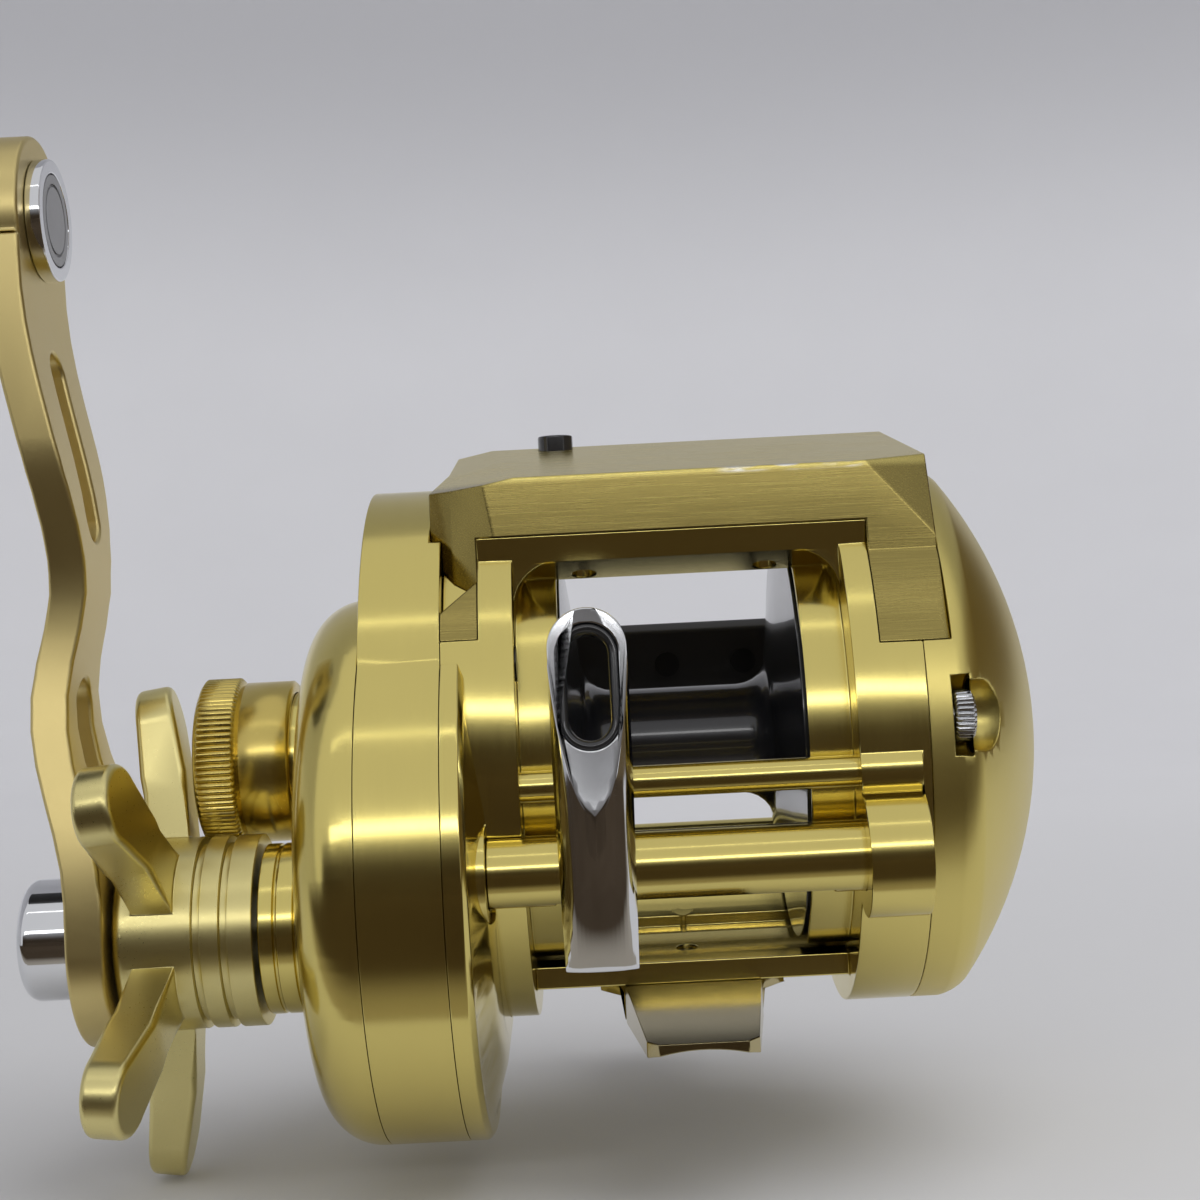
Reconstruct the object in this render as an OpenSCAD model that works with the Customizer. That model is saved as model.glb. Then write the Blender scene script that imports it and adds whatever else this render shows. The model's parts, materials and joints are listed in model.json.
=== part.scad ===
// Baitcasting reel with a round body, a power handle and a level wind.
// Millimetres. +X points to the palm side, -Y to the line guide at the front, +Z up.
// The origin is on the underside of the reel foot, below the spool's axis.

/* [Frame] */
// Height of the spool's axis above the underside of the foot
spool_h = 23.5; // [23.2:0.1:26]
// Outer radius of the round frame
body_r = 25; // [24.6:0.1:28]
// Radial width of the frame's rings
ring_wall = 4.8; // [4.2:0.1:5]
// Width of the opening between the frame's two walls
window_w = 28.4; // [26:0.2:36]
// Thickness of the wall on the gear side
left_wall = 6.2; // [5.6:0.1:8]
// Thickness of the ring on the palm side
right_wall = 6; // [5.4:0.1:8]
// Thickness of the web that closes the gear-side wall
web = 2.2; // [1.8:0.1:2.6]
// Distance from the spool's axis to the underside of the frame's floor
floor_drop = 21.2; // [21:0.1:22]
// Height of the frame's floor at its front edge
floor_t = 2; // [1.6:0.1:3]
// Distance of the floor's front edge from the spool's axis
floor_fwd = 10; // [9.5:0.5:13]
// Distance of the floor's rear edge from the spool's axis
floor_back = 13; // [11:0.5:17]
// Radius of the rounded corners of the window
corner_r = 4; // [2:0.5:6]
// Radius of the pillar across the rear
pillar_r = 2.4; // [1.8:0.1:2.6]

/* [Hood] */
// Height of the hood's flat seat above the spool's axis
hood_seat = 19.65; // [19.4:0.05:21]
// Height of the hood's front top edge above the spool's axis
hood_front_h = 24.8; // [23.5:0.1:28]
// Slope of the hood's top, in degrees
hood_slope = 9; // [4:0.5:14]
// Distance of the hood's front face from the spool's axis, at the seat
hood_fwd = 18.2; // [17.6:0.1:19.5]
// Distance of the hood's rear face from the spool's axis
hood_back = 12; // [10:0.5:15]
// Width of the hood's leg in the gear-side wall
leg_left_w = 3.2; // [2.4:0.1:3.6]
// Width of the hood's leg in the palm-side ring
leg_right_w = 3.6; // [2.6:0.1:4]
// How far the hood reaches over the palm cover's rim
hood_over = 2.4; // [1:0.1:2.4]
// How far the hood reaches over the gear case
hood_over_l = 1; // [0.4:0.1:1.4]
// How much narrower each end of the hood is at the rear
hood_taper = 2.2; // [0:0.1:3]
// Depth of the recess for the hood's legs, measured in from the body's outer radius
leg_depth = 2.4; // [1.6:0.1:2.8]
// Height of the gear-side leg's lower end above the spool's axis
leg_left_h = 11; // [9.8:0.1:14]
// Height of the palm-side leg's lower end above the spool's axis
leg_right_h = 9.1; // [7.6:0.1:13]
// Width of the hood's corner bevels, along the front
hood_bevel = 4.8; // [2:0.2:7]
// Radius of the black post on the hood
post_r = 1.75; // [1:0.05:3]
// Height of the black post above the hood
post_h = 1.3; // [0.8:0.1:3]
// Distance of the black post from the spool's middle, towards the gear side
post_out = 10.4; // [4:0.2:12]

/* [Foot] */
// Overall length of the foot
foot_len = 62; // [54:1:70]
// Width of the foot's wings under the frame
foot_wing_w = 16.9; // [14:0.1:20]
// Length of the foot's wings
foot_wing_len = 25; // [20:0.5:30]
// Width of the foot's toes where they leave the wings
toe_w = 12.4; // [10:0.1:13.6]
// Width of the foot's toes at their tips
toe_tip_w = 9.4; // [7:0.1:11]
// Thickness of the toes at their tips
toe_tip_t = 1; // [0.8:0.1:1.4]
// Radius of the foot's hollow underside
saddle_r = 16.5; // [12:0.5:24]
// Distance of the foot's middle behind the spool's axis
foot_shift = 4; // [0:0.5:5]
// Distance between the foot's screws
foot_screw_pitch = 8; // [6:0.5:10]

/* [Gear case] */
// Width of the gear case ring
case_w = 7; // [6.8:0.1:9]
// Wall thickness of the gear case
case_wall = 2.2; // [1.8:0.1:2.4]
// Depth of the gear cover
cover_w = 5.6; // [5.2:0.1:7]
// Thickness of the gear cover's flat end
cover_wall = 1.8; // [1.4:0.1:2.2]
// Radius of the gear cover's rounded rim
cover_edge = 5; // [3:0.1:5.2]
// Radius of the gear case's lobe
lobe_r = 24.6; // [24.4:0.1:26]
// Distance of the lobe's centre in front of the spool's axis
lobe_fwd = 7.5; // [6.5:0.1:8.5]
// Distance of the lobe's centre below the spool's axis
lobe_drop = 9.7; // [9:0.1:10.6]
// Depth of the dished plate behind the lobe
plate_w = 3.6; // [2.6:0.1:4.4]
// Radius of the drive shaft's collar on the gear cover
collar_r = 7.65; // [7.4:0.05:8]
// Length of the drive shaft's collar
collar_len = 5; // [4.6:0.1:5.2]
// Radius of the screw posts inside the gear case
screw_post_r = 2.1; // [1.8:0.1:2.4]

/* [Gears] */
// Module of the main gear and the pinion
gear_module = 0.5; // [0.48:0.005:0.51]
// Teeth on the main gear
gear_teeth = 57; // [55:1:58]
// Teeth on the pinion
pinion_teeth = 12; // [12:1:13]
// Distance of the drive shaft in front of the spool's axis
drive_fwd = 9.4; // [8.8:0.1:10]
// Face width of the main gear
main_gear_w = 2.6; // [2:0.1:2.7]
// Teeth on the level wind's driving gear
lw_gear_teeth = 36; // [32:1:37]
// Teeth on the worm's gear
lw_pinion_teeth = 16; // [15:1:17]
// Face width of the level wind's gears
lw_gear_w = 1.3; // [0.9:0.1:1.4]

/* [Spool] */
// Radius of the spool's flanges
spool_r = 19; // [16:0.1:19.4]
// Radius of the spool's arbor
arbor_r = 5.2; // [4:0.1:9]
// Width of the arbor between the flanges
arbor_w = 17.8; // [14:0.2:20]
// Thickness of a flange's rim
rim_t = 4.4; // [2:0.1:4.8]
// Radius of the fillet between arbor and flange
arbor_fillet = 3; // [1:0.1:4]
// Diameter of the spool shaft
shaft_d = 3; // [2.6:0.1:3.1]
// Outer radius of the spool bearings
bearing_r = 5; // [4.4:0.1:5.2]
// Width of the spool bearings
bearing_w = 4; // [3:0.1:4.2]

/* [Palm cover] */
// Depth of the palm cover
dome_w = 13; // [12.6:0.1:16]
// Radius of the palm cover's dome
dome_r = 38.5; // [34:0.5:50]
// Radius of the rounding at the dome's edge
dome_edge = 4; // [2:0.1:5]
// Wall thickness of the dome
dome_wall = 2; // [1.4:0.1:2.6]
// Depth of the spigot that centres the palm cover in the frame
spigot = 3.5; // [2:0.1:3.6]
// Radius of the thumbscrew's head
thumb_r = 2.2; // [1.5:0.05:2.3]
// Length of the thumbscrew's head
thumb_w = 1.9; // [1.6:0.1:2.4]
// Height of the thumbscrew above the spool's axis
thumb_up = 2.6; // [1:0.1:4]
// Radius of the finger scoop
scoop_r = 3; // [2.4:0.1:3.4]

/* [Level wind] */
// Distance of the worm in front of the spool's axis
worm_fwd = 24; // [23.6:0.1:25]
// Distance of the worm's axis below the spool's axis
worm_drop = 8.55; // [8:0.05:9.2]
// Distance of the guide bar in front of the spool's axis
bar_fwd = 22.9; // [22.7:0.1:23.4]
// Distance of the guide bar's axis below the spool's axis
bar_drop = 1.6; // [0.8:0.1:2]
// Radius of the worm's tube
tube_r = 2.95; // [2.8:0.05:3.1]
// Wall thickness of the worm's tube
tube_wall = 0.7; // [0.5:0.05:0.75]
// Radius of the guide bar
bar_r = 1.35; // [1.1:0.05:1.5]
// Rest position of the line guide, from the spool's middle
guide_x = -8; // [-9.5:0.1:-7]
// Half the width of the line guide
guide_hw = 3.3; // [3.2:0.1:3.6]
// Height of the guide's top above the spool's axis
guide_top = 13.3; // [12.5:0.1:14.5]
// Distance of the guide's lower end below the spool's axis
guide_bottom = 16.5; // [15.4:0.1:16.6]
// Width of the slot in the eye
eye_w = 3.4; // [2.8:0.1:3.5]
// Height of the slot in the eye
eye_h = 8.8; // [8:0.1:9]
// Width of the black ring round the eye's slot
eye_rim = 0.85; // [0.5:0.05:0.9]

/* [Handle] */
// Distance from the drive shaft to the knob's axis
handle_len = 65.2; // [60:0.2:72]
// Thickness of the handle's arm
arm_t = 3.4; // [2.8:0.1:4]
// Radius of the arm's hub end
arm_hub_r = 9.8; // [8:0.1:11]
// Radius of the arm's knob end
arm_end_r = 7.6; // [6.8:0.1:9]
// Half the width of the arm's waist
arm_waist = 4.6; // [3.6:0.1:6]
// Outward lean of the arm's knob end
arm_lean = 4.8; // [2:0.1:7]
// Outward bow of the arm near its hub
arm_bow = 3.1; // [1:0.1:4]
// Inward return of the arm at its waist
arm_return = 2; // [0.5:0.1:3]
// Radius of the star wheel's tips
star_r = 24; // [20:0.2:26]
// Thickness of the star's arms
star_t = 3.6; // [2.4:0.1:3.8]
// Width of a star arm near its tip
star_arm_w = 7; // [5:0.1:9]
// Radius of the star's hub
star_hub_r = 8.6; // [8:0.1:8.7]
// Turn of the star wheel at rest, in degrees
star_turn = 4.8; // [-30:0.2:30]
// Lean of the star wheel's arms towards the handle, in degrees
star_lean = 8.5; // [0:0.5:9]
// Radius of the handle nut
nut_r = 5.5; // [5:0.1:6.5]
// Height of the handle nut
nut_h = 5.6; // [5:0.1:7]
// Radius of the knob at its belly
knob_r = 14; // [11:0.2:17]
// Length of the knob
knob_len = 26; // [22:0.5:32]

/* [Brake knob] */
// Radius of the knurled brake knob
cast_r = 8.1; // [7.8:0.05:8.2]
// Length of the knurled rim
cast_rim_w = 4.1; // [3:0.1:5]
// Length of the whole brake knob
cast_len = 8.9; // [8.6:0.1:9.4]

/* [Thumb bar] */
// Height of the thumb bar's top above the spool's axis
bar_top = 11; // [9:0.2:12]
// Height of the thumb bar
bar_h = 13; // [11:0.2:14]
// Thickness of the thumb bar
bar_t = 3.6; // [3:0.1:4]
// Travel of the thumb bar
bar_travel = 5; // [4:0.1:5.2]
// Travel of the clutch yoke and pinion
clutch_travel = 1.5; // [1:0.1:1.6]

/* [Hidden] */
$fn = 64;

// Clearances
fit = 0.05;
run = 0.3;
seat = 0.02;
over = 0.5;

// Axes, as [y, z]
S = [0, spool_h];
drive_cd = gear_module * (gear_teeth + pinion_teeth) / 2;
drive_drop = sqrt(drive_cd * drive_cd - drive_fwd * drive_fwd);
D = [-drive_fwd, spool_h - drive_drop];
W = [-worm_fwd, spool_h - worm_drop];
B = [-bar_fwd, spool_h - bar_drop];
L = [-lobe_fwd, spool_h - lobe_drop];
K = [D.x, D.y + handle_len];

// Planes across the reel, from the handle side to the palm side
x_in_l = -window_w / 2;
x_in_r = window_w / 2;
x_case = x_in_l - left_wall;
x_web = x_case + web;
x_cover = x_case - case_w;
x_end = x_cover - cover_w;
x_end_in = x_end + cover_wall;
x_palm = x_in_r + right_wall;
x_dome = x_palm + dome_w;
x_leg_l = x_case + leg_left_w;
x_leg_r = x_palm - leg_right_w;
x_hood_r = x_palm + hood_over;
x_hood_l = x_case - hood_over_l;

// Frame
bore_r = body_r - ring_wall;
leg_in_r = body_r - leg_depth;
post_root = 1.2;
post_back = 9.9;
lip_t = 0.45;
lip_w = 3.7;
lip_end = 9.6;
bar_nose_in = 0.5;
bar_face = 2.3;
rear_wall_t = 2.4;
rear_wall_y = 9;
rear_wall_drop = 11.5;

// Hood: where it is widest, its facet on the palm side, the bevel and the slope on the gear side
hood_wide = 14;
hood_front_lean = 0.45;
hood_low = hood_seat - 3.6;
facet_in = 5.75;
facet_turn = [0, -25, -63];
bevel_step = [1, 2];
bevel_end = 4.6;
bevel_foot = 15.9;
bevel_foot_slope = 39;
slope_in = 6.7;
slope_turn = 6;
slope_down = 11;
hood_screw_x = 8;
hood_screw_fwd = 14;
hood_screw_r = 1;
hood_screw_up = 2.6;
hood_screw_in = 2.8;

pillar_at = on_body(body_r - pillar_r, 213);

// Gear train along the drive shaft
drive_r = 3;
drive_end_r = 2;
bush_wall = 0.9;
bush_r = drive_end_r + bush_wall + fit;
x_lw = x_case - 0.5 - lw_gear_w;
x_gear = x_lw - 0.4 - main_gear_w;
drag_r = 10.8;
drag_t = 0.7;
drag_gap = 0.06;
drag_layers = 2;
x_drag = x_gear - drag_gap - 2 * drag_layers * (drag_t + drag_gap);
sleeve_r = 4;
one_way_r = collar_r - 1.25;
x_collar = x_end - collar_len;
x_star = x_collar - 0.35;
star_len = 12.3;
x_star_out = x_star - star_len;
x_star_arm = x_star - 6.9;
star_belly = 0.35;
star_thin = 0.2;
x_arm = x_star_out - 0.25;
x_sleeve_end = x_star - 3.4;
x_shaft_end = x_arm - arm_t - nut_h + 1.6;

// Clutch
pinion_bore = shaft_d / 2 + fit;
pinion_hub_r = 3;
pinion_neck_r = 2.3;
yoke_t = 1.2;
x_pinion_r = x_case + 0.8;
x_teeth_r = x_case - 0.4;
x_teeth_l = x_gear - 0.6;
x_yoke = x_teeth_l - 0.2 - yoke_t;
x_pinion_l = x_yoke - 1.2;
drive_angle = atan2(D.y - S.y, D.x - S.x);
yoke_reach = 8.5;
guide_pin_r = 1;
guide_pins = [for (side = [-1, 1])
    S + side * yoke_reach * [cos(drive_angle + 90), sin(drive_angle + 90)]];
link_y = 20.6;
link_r = 0.8;
link_up = 1;
cam_t = 0.8;
cam_hub_r = 5.5;
cam_bore_r = 4.2;
cam_angle = atan2(link_up, link_y);

// Spool
x_bearing_l = x_end - 5.9;
x_bearing_r = x_palm - 0.6;
x_shaft_r = x_bearing_r + bearing_w + 0.7;
spool_half = x_in_r + 0.5;
brake_hub_r = 8.4;
brake_race_r = 11.4;
race_wall = 1.4;
x_brake = spool_half + 0.6;

// Brake knob
neck_r = 6.4;
x_cast = x_end - 3.1;
x_cast_out = x_cast - cast_len;
x_neck = x_end - 7.4;
x_shaft_l = x_neck - 0.9;

// Level wind
lw_cd = norm(W - D);
lw_module = 2 * lw_cd / (lw_gear_teeth + lw_pinion_teeth);
worm_r = tube_r - tube_wall - 0.25;
worm_end_r = 1.5;
x_tube_l = x_case + plate_w - 0.4;
x_tube_r = x_in_r + 1.4;
tube_boss_r = tube_r + 2.3;
bar_boss_r = bar_r + 1.25;
tube_seat_r = tube_r + 1.2;
x_boss = x_palm - 0.8;

// Line guide: its nose and back from the worm's axis, the leaning face and the eye in it
guide_front = 5.7;
guide_back = 3.5;
nose_r = guide_hw + 0.3;
foot_hw = guide_hw - 0.3;
face_drop = 3.6;
face_lean = 9.5;
eye_up = 10.6;
eye_deep = 4.9;
eye_ring_y = [0.1, 1.9];
z_guide_step = B.y + bar_r + 0.9;
pawl_cap_r = foot_hw - 0.4;
pawl_cap_t = 1.25;
pawl_r = 1.1;

// Thumb bar
bar_y = spool_r + run + 0.3;
tongue_w = 1.3;
tongue_y = bar_y + 0.9;
tongue_t = 1.9;
tongue_z = [-2, 4];

// Places of fasteners, as angles up from the front or as [y, z]
case_screw_at = [23, 150, 225];
case_screw_r = 0.85;
case_screw_out = 22.4;
case_head_r = 1.5;
case_head_deep = 1.4;
case_head_up = 0.15;
case_thread = 4.2;
case_boss_wall = 0.9;
cover_screw_at = [for (a = [75, 195]) L + 18.3 * [-cos(a), sin(a)]];
thumb_fwd = bore_r + 2.7;
T = [-thumb_fwd, spool_h + thumb_up];
x_thumb = x_palm + 2.1;
thumb_screw_r = 0.95;
scoop_fwd = 0.6;
scoop_len = 5.6;
scoop_seat = [0.5, 3.55, 1.5];
foot_screw_mid = 2;
foot_screw_r = 1;
foot_head_r = 1.8;
bar_screw_x = [0, 8];
bar_screw_up = 6.7;
bar_screw_r = 0.8;

// Seal ring in a groove of the palm cover's spigot
seal_w = 0.8;
seal_t = 0.55;
x_seal = x_palm - spigot + 0.9;

// How far the worm's end stands out of its gear
worm_end_out = 0.2;

gold = "#d8b650";
chrome = "#c9ccd1";
black = "#1b1c20";
steel = "#9a9da3";
brass = "#c9a14a";

// A round bar along X, from x0 to x1, round the axis at [y, z]
module rod(x0, x1, r, at) {
    translate([min(x0, x1), at.x, at.y]) rotate([0, 90, 0]) cylinder(r = r, h = abs(x1 - x0));
}

// A tube along X
module tube(x0, x1, ro, ri, at) {
    difference() {
        rod(x0, x1, ro, at);
        rod(min(x0, x1) - over, max(x0, x1) + over, ri, at);
    }
}

// Turns a profile of [radius, distance] about an X axis; the distance grows towards +X from x
module lathe(x, at) {
    translate([x, at.x, at.y]) rotate([0, 90, 0]) rotate_extrude() children();
}

// The same, with the distance growing towards -X
module lathe_left(x, at) {
    translate([x, at.x, at.y]) rotate([0, -90, 0]) rotate_extrude() children();
}

// Extrudes an outline drawn as [y, z] along X
module slab(x0, x1) {
    translate([x0, 0, 0]) rotate([90, 0, 90]) linear_extrude(x1 - x0) children();
}

// Half profile of a disc of radius r and height h, with a rounded far edge
module round_edge(r, h, edge) {
    square([r - edge, h]);
    square([r, h - edge]);
    translate([r - edge, h - edge]) intersection() {
        circle(edge);
        square(edge);
    }
}

// A point on a circle round the spool's axis, at an angle up from the front
function on_body(r, a) = S + r * [-cos(a), sin(a)];

// Smooth step from 0 to 1
function ease(t) = (1 - cos(180 * min(1, max(0, t)))) / 2;

// Involute function of a radius over its base radius, in degrees
function involute(base, r) = sqrt(pow(max(1, r / base), 2) - 1) * 180 / PI - acos(base / max(base, r));

// Outline of a spur gear with one tooth on the +Y axis, thinned for backlash
function gear_outline(teeth, m, pressure = 25, tip = 0.8, root = 1.1, thin = 0.16) =
    let (
        rp = m * teeth / 2,
        base = rp * cos(pressure),
        low = rp - root * m,
        high = rp + tip * m,
        flank = [low, max(base, low + 0.02), (max(base, low) + rp) / 2, rp, (rp + high) / 2, high],
        half = 90 / teeth - thin * m / rp * 90 / PI + involute(base, rp)
    )
    [for (k = [0 : teeth - 1], side = [-1, 1], i = [0 : len(flank) - 1])
        let (
            r = flank[side < 0 ? i : len(flank) - 1 - i],
            a = 360 * k / teeth + side * (half - involute(base, r))
        )
        r * [cos(a), sin(a)]];

// A spur gear along X with a tooth at the given angle and a bore
module spur(x0, x1, teeth, m, at, turn, bore) {
    difference() {
        translate([0, at.x, at.y]) slab(x0, x1) rotate(turn) polygon(gear_outline(teeth, m));
        rod(x0 - over, x1 + over, bore, at);
    }
}

// Ball bearing drawn as two rings joined by a recessed shield
module bearing(x, w, ro, ri, at) {
    groove = 0.3;
    land = (ro - ri) * 0.28;
    difference() {
        tube(x, x + w, ro, ri, at);
        for (face = [x - groove, x + w - groove])
            tube(face, face + 2 * groove, ro - land, ri + land, at);
    }
}

// Space taken by the hood and its legs, grown by a gap
module hood_space(gap) {
    reach = body_r + 10;
    translate([0, 0, spool_h + hood_seat - gap]) linear_extrude(reach) polygon([
        [x_hood_l - gap, -reach], [x_hood_r + gap, -reach], [x_hood_r + gap, -hood_wide],
        [x_hood_r - hood_taper + gap, hood_back + gap], [x_hood_l + hood_taper - gap, hood_back + gap],
        [x_hood_l - gap, -hood_wide]
    ]);
    intersection() {
        union() {
            translate([x_leg_r - gap, -reach, spool_h + leg_right_h - gap])
                cube([x_hood_r - x_leg_r + 2 * gap, reach + hood_back + gap, reach]);
            translate([x_case - gap, -reach, spool_h + leg_left_h - gap])
                cube([x_leg_l - x_case + 2 * gap, reach + hood_back + gap, reach]);
        }
        tube(x_case - 1, x_hood_r + 1, reach, leg_in_r - gap, S);
    }
}

// Milled one-piece frame: gear-side wall, palm-side ring, crossbar, floor and rear pillar
module frame() {
    bar_nose = [-hood_fwd + bar_nose_in, hood_seat - bar_face];
    color(gold) difference() {
        union() {
            rod(x_case, x_in_l, body_r, S);
            rod(x_in_r, x_palm, body_r, S);
            spool_lips();
            rod(x_case, x_tube_l, tube_seat_r, W);
            rod(x_in_r, x_boss, tube_boss_r, W);
            rod(x_in_r, x_boss, bar_boss_r, B);
            rod(x_in_l - 1, x_in_r + 1, pillar_r, pillar_at);
            rear_wall();
            translate([0, 0, spool_h]) slab(x_leg_l - over, x_leg_r + over) polygon([
                [-9, hood_seat - 5], bar_nose, [-hood_fwd, hood_seat], [-9, hood_seat]
            ]);
            for (side = [-1, 1]) window_corner(side, bar_nose);
            translate([x_in_l - 1, -floor_fwd, spool_h - floor_drop])
                cube([window_w + 2, floor_fwd + floor_back, floor_t]);
            for (at = cover_screw_at) rod(x_end_in + seat, x_case + 1, screw_post_r, at);
        }
        rod(x_web, x_palm + over, bore_r, S);
        rod(x_case - over, x_web + over, cam_bore_r - run, S);
        rod(x_case - over, x_web + over, bush_r + seat, D);
        rod(x_case - over, x_in_l + over, tube_r + seat, W);
        rod(x_in_r - over, x_tube_r, tube_r + seat, W);
        rod(x_in_r, x_boss - 1, worm_end_r + 1, W);
        for (end = [x_in_l - 2, x_in_r - over]) rod(end, end + 2 + over, bar_r + seat, B);
        translate([x_tube_l, W.x - tube_boss_r, W.y - tube_r - seat])
            cube([x_in_l - x_tube_l + over, tube_boss_r + 3, 2 * tube_r + 2 * seat]);
        thumb_bar_grooves();
        for (a = case_screw_at) case_screw_hole(a);
        for (at = cover_screw_at) rod(x_end_in - over, x_case - 2, case_screw_r + seat, at);
        rod(x_palm - 5.2, x_palm + over, thumb_screw_r + 0.1, T);
        foot_screw_places() translate([0, 0, spool_h - floor_drop - over])
            cylinder(r = foot_screw_r + seat, h = floor_t + 2);
        hood_screw_places() cylinder(r = hood_screw_r + seat, h = body_r);
        hood_space(seat);
    }
}

// Thin lips at the front of the bore, which keep the line from going behind the spool's flanges
module spool_lips() {
    r = bore_r + lip_t;
    intersection() {
        union() {
            rod(x_in_l - 1, x_in_l + lip_w, r, S);
            rod(x_in_r - lip_w, x_in_r + 1, r, S);
        }
        translate([x_in_l - 2, -body_r, spool_h - body_r])
            cube([window_w + 4, body_r - lip_end, 2 * body_r]);
    }
}

// Curved wall behind the spool, from the floor up to the rear pillar
module rear_wall() {
    intersection() {
        tube(x_in_l - 1, x_in_r + 1, bore_r + rear_wall_t, bore_r - 1, S);
        translate([x_in_l - 2, rear_wall_y, spool_h - floor_drop])
            cube([window_w + 4, body_r, floor_drop - rear_wall_drop]);
    }
}

// Rounded inside corner where the crossbar meets a wall
module window_corner(side, nose) {
    x0 = side < 0 ? x_in_l : x_in_r - corner_r;
    z0 = spool_h + nose.y - corner_r;
    difference() {
        translate([x0, nose.x, z0]) cube([corner_r, 9, corner_r + 1.5]);
        translate([x0 + (side < 0 ? corner_r : 0), nose.x - over, z0])
            rotate([-90, 0, 0]) cylinder(r = corner_r, h = 10);
    }
}

// Slots in the walls in which the thumb bar's tongues slide, and the way for its link pin
module thumb_bar_grooves() {
    low = tongue_z[0] - bar_travel - run;
    high = tongue_z[1] + run;
    depth = tongue_w + run;
    for (x = [x_in_l - depth, x_in_r - over])
        translate([x, tongue_y - run, spool_h + low]) cube([depth + over, tongue_t + 2 * run, high - low]);
    link_slot = 2 * (link_r + run);
    translate([x_case - over, link_y - link_slot / 2, spool_h + link_up - bar_travel - link_slot / 2])
        cube([left_wall + 2 * over, link_slot, bar_travel + link_slot]);
}

// Hole and counterbore for a screw that holds the gear case
module case_screw_hole(a) {
    rod(x_case - over, x_in_l + over, case_screw_r + seat, on_body(case_screw_out, a));
    rod(x_in_l - case_head_deep, x_in_l + over, case_head_r + seat, on_body(case_screw_out, a));
}

// Dished plate that closes the lobe of the gear case beside the frame
module inner_case_plate() {
    rim = 1.5;
    color(gold) difference() {
        lathe(x_case, L) polygon([
            [0, 0], [lobe_r, 0], [lobe_r, rim], [lobe_r - 0.6, rim + 0.5],
            [lobe_r - 2, rim + 0.4], [lobe_r - 6, plate_w - 0.5], [lobe_r - 9, plate_w], [0, plate_w]
        ]);
        rod(x_case - over, x_in_l, body_r + seat, S);
        rod(x_case - over, x_in_l, tube_seat_r + seat, W);
        hood_space(seat);
    }
}

// Outline of the gear case: the body's circle joined to the lobe's
module case_outline(inset) {
    translate(S) circle(body_r - inset);
    translate(L) circle(lobe_r - inset);
}

// Ring round the gears, with an end wall over the part that the cover leaves open
module gear_case() {
    end_t = 1.8;
    color(gold) difference() {
        union() {
            difference() {
                slab(x_cover, x_case) case_outline(0);
                slab(x_cover + end_t, x_case + over) case_outline(case_wall);
                rod(x_cover - over, x_case, lobe_r - case_wall, L);
            }
            for (a = case_screw_at)
                rod(x_cover + end_t / 2, x_case, case_screw_r + case_boss_wall, on_body(case_screw_out, a));
        }
        for (a = case_screw_at)
            rod(x_case - case_thread, x_case + over, case_screw_r + seat, on_body(case_screw_out, a));
        hood_space(seat);
    }
}

// Cover of the gear case, with the brake knob's neck and the drive shaft's collar
module gear_cover() {
    color(gold) difference() {
        union() {
            lathe_left(x_cover, L) round_edge(lobe_r, cover_w, cover_edge);
            rod(x_neck, x_end + 1, neck_r, S);
            lathe_left(x_end + 1, D) difference() {
                square([collar_r, collar_len + 1]);
                for (groove = [2.6, 4.4]) translate([collar_r - 0.25, groove]) square([1, 0.3]);
            }
        }
        lathe_left(x_cover + over, L)
            round_edge(lobe_r - case_wall, cover_w - cover_wall + over, cover_edge - cover_wall);
        rod(x_neck - over, x_cover, bearing_r + seat, S);
        rod(x_collar - over, x_cover, one_way_r + seat, D);
        for (at = cover_screw_at) {
            rod(x_end - over, x_end_in + over, 1.1, at);
            rod(x_end - over, x_end + 1, 2 + seat, at);
        }
    }
}

// Two screws from the cover into the posts inside the gear case
module cover_screws() {
    color(steel) for (at = cover_screw_at) difference() {
        union() {
            rod(x_end + 0.1, x_end + 1 - seat, 2, at);
            rod(x_end + 0.5, x_case - 2.2, case_screw_r, at);
        }
        rod(x_end - over, x_end + 0.6, 0.9, at, $fn = 6);
    }
}

// Three black screws from inside the frame's wall into the gear case
module case_screws() {
    color(black) for (a = case_screw_at) {
        at = on_body(case_screw_out, a);
        rod(x_in_l - case_head_deep + seat, x_in_l + case_head_up, case_head_r, at);
        rod(x_case - case_thread + 0.2, x_in_l - 1, case_screw_r, at);
    }
}

// Milled thumb rest whose legs are let into the frame
module top_hood() {
    color(gold) difference() {
        intersection() {
            hood_space(0);
            union() {
                translate([0, 0, spool_h]) slab(x_hood_l, x_hood_r) polygon([
                    [hood_back, hood_seat - 1], [hood_back, hood_top(hood_back)],
                    [hood_front(hood_front_h), hood_front_h],
                    [hood_front(hood_low), hood_low], [-leg_in_r * 0.7, hood_low]
                ]);
                rod(x_case, x_hood_r, body_r, S);
            }
        }
        translate([x_hood_r - facet_in, -hood_fwd + hood_front_lean, spool_h + hood_front_h])
            rotate(facet_turn) translate([0, -40, -40]) cube(80);
        hood_left_bevel();
        translate([x_case + slope_in, -hood_fwd + hood_front_lean, spool_h + hood_front_h])
            rotate([hood_slope, 0, 0]) rotate([0, 0, slope_turn]) rotate([0, -slope_down, 0])
                translate([-40, -40, 0]) cube([40, 80, 40]);
        hood_screw_places() cylinder(r = hood_screw_r + seat, h = hood_seat + hood_screw_up);
        hood_post_at() translate([0, 0, -post_root]) cylinder(r = post_r + seat, h = 10);
    }
}

// Place of the hood's front, at a height above the spool's axis
function hood_front(z) = -hood_fwd + hood_front_lean * (z - hood_seat) / (hood_front_h - hood_seat);

// Height of the hood's top above the spool's axis, at a distance behind it
function hood_top(y) = hood_front_h + (y + hood_fwd - hood_front_lean) * tan(hood_slope);

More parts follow.
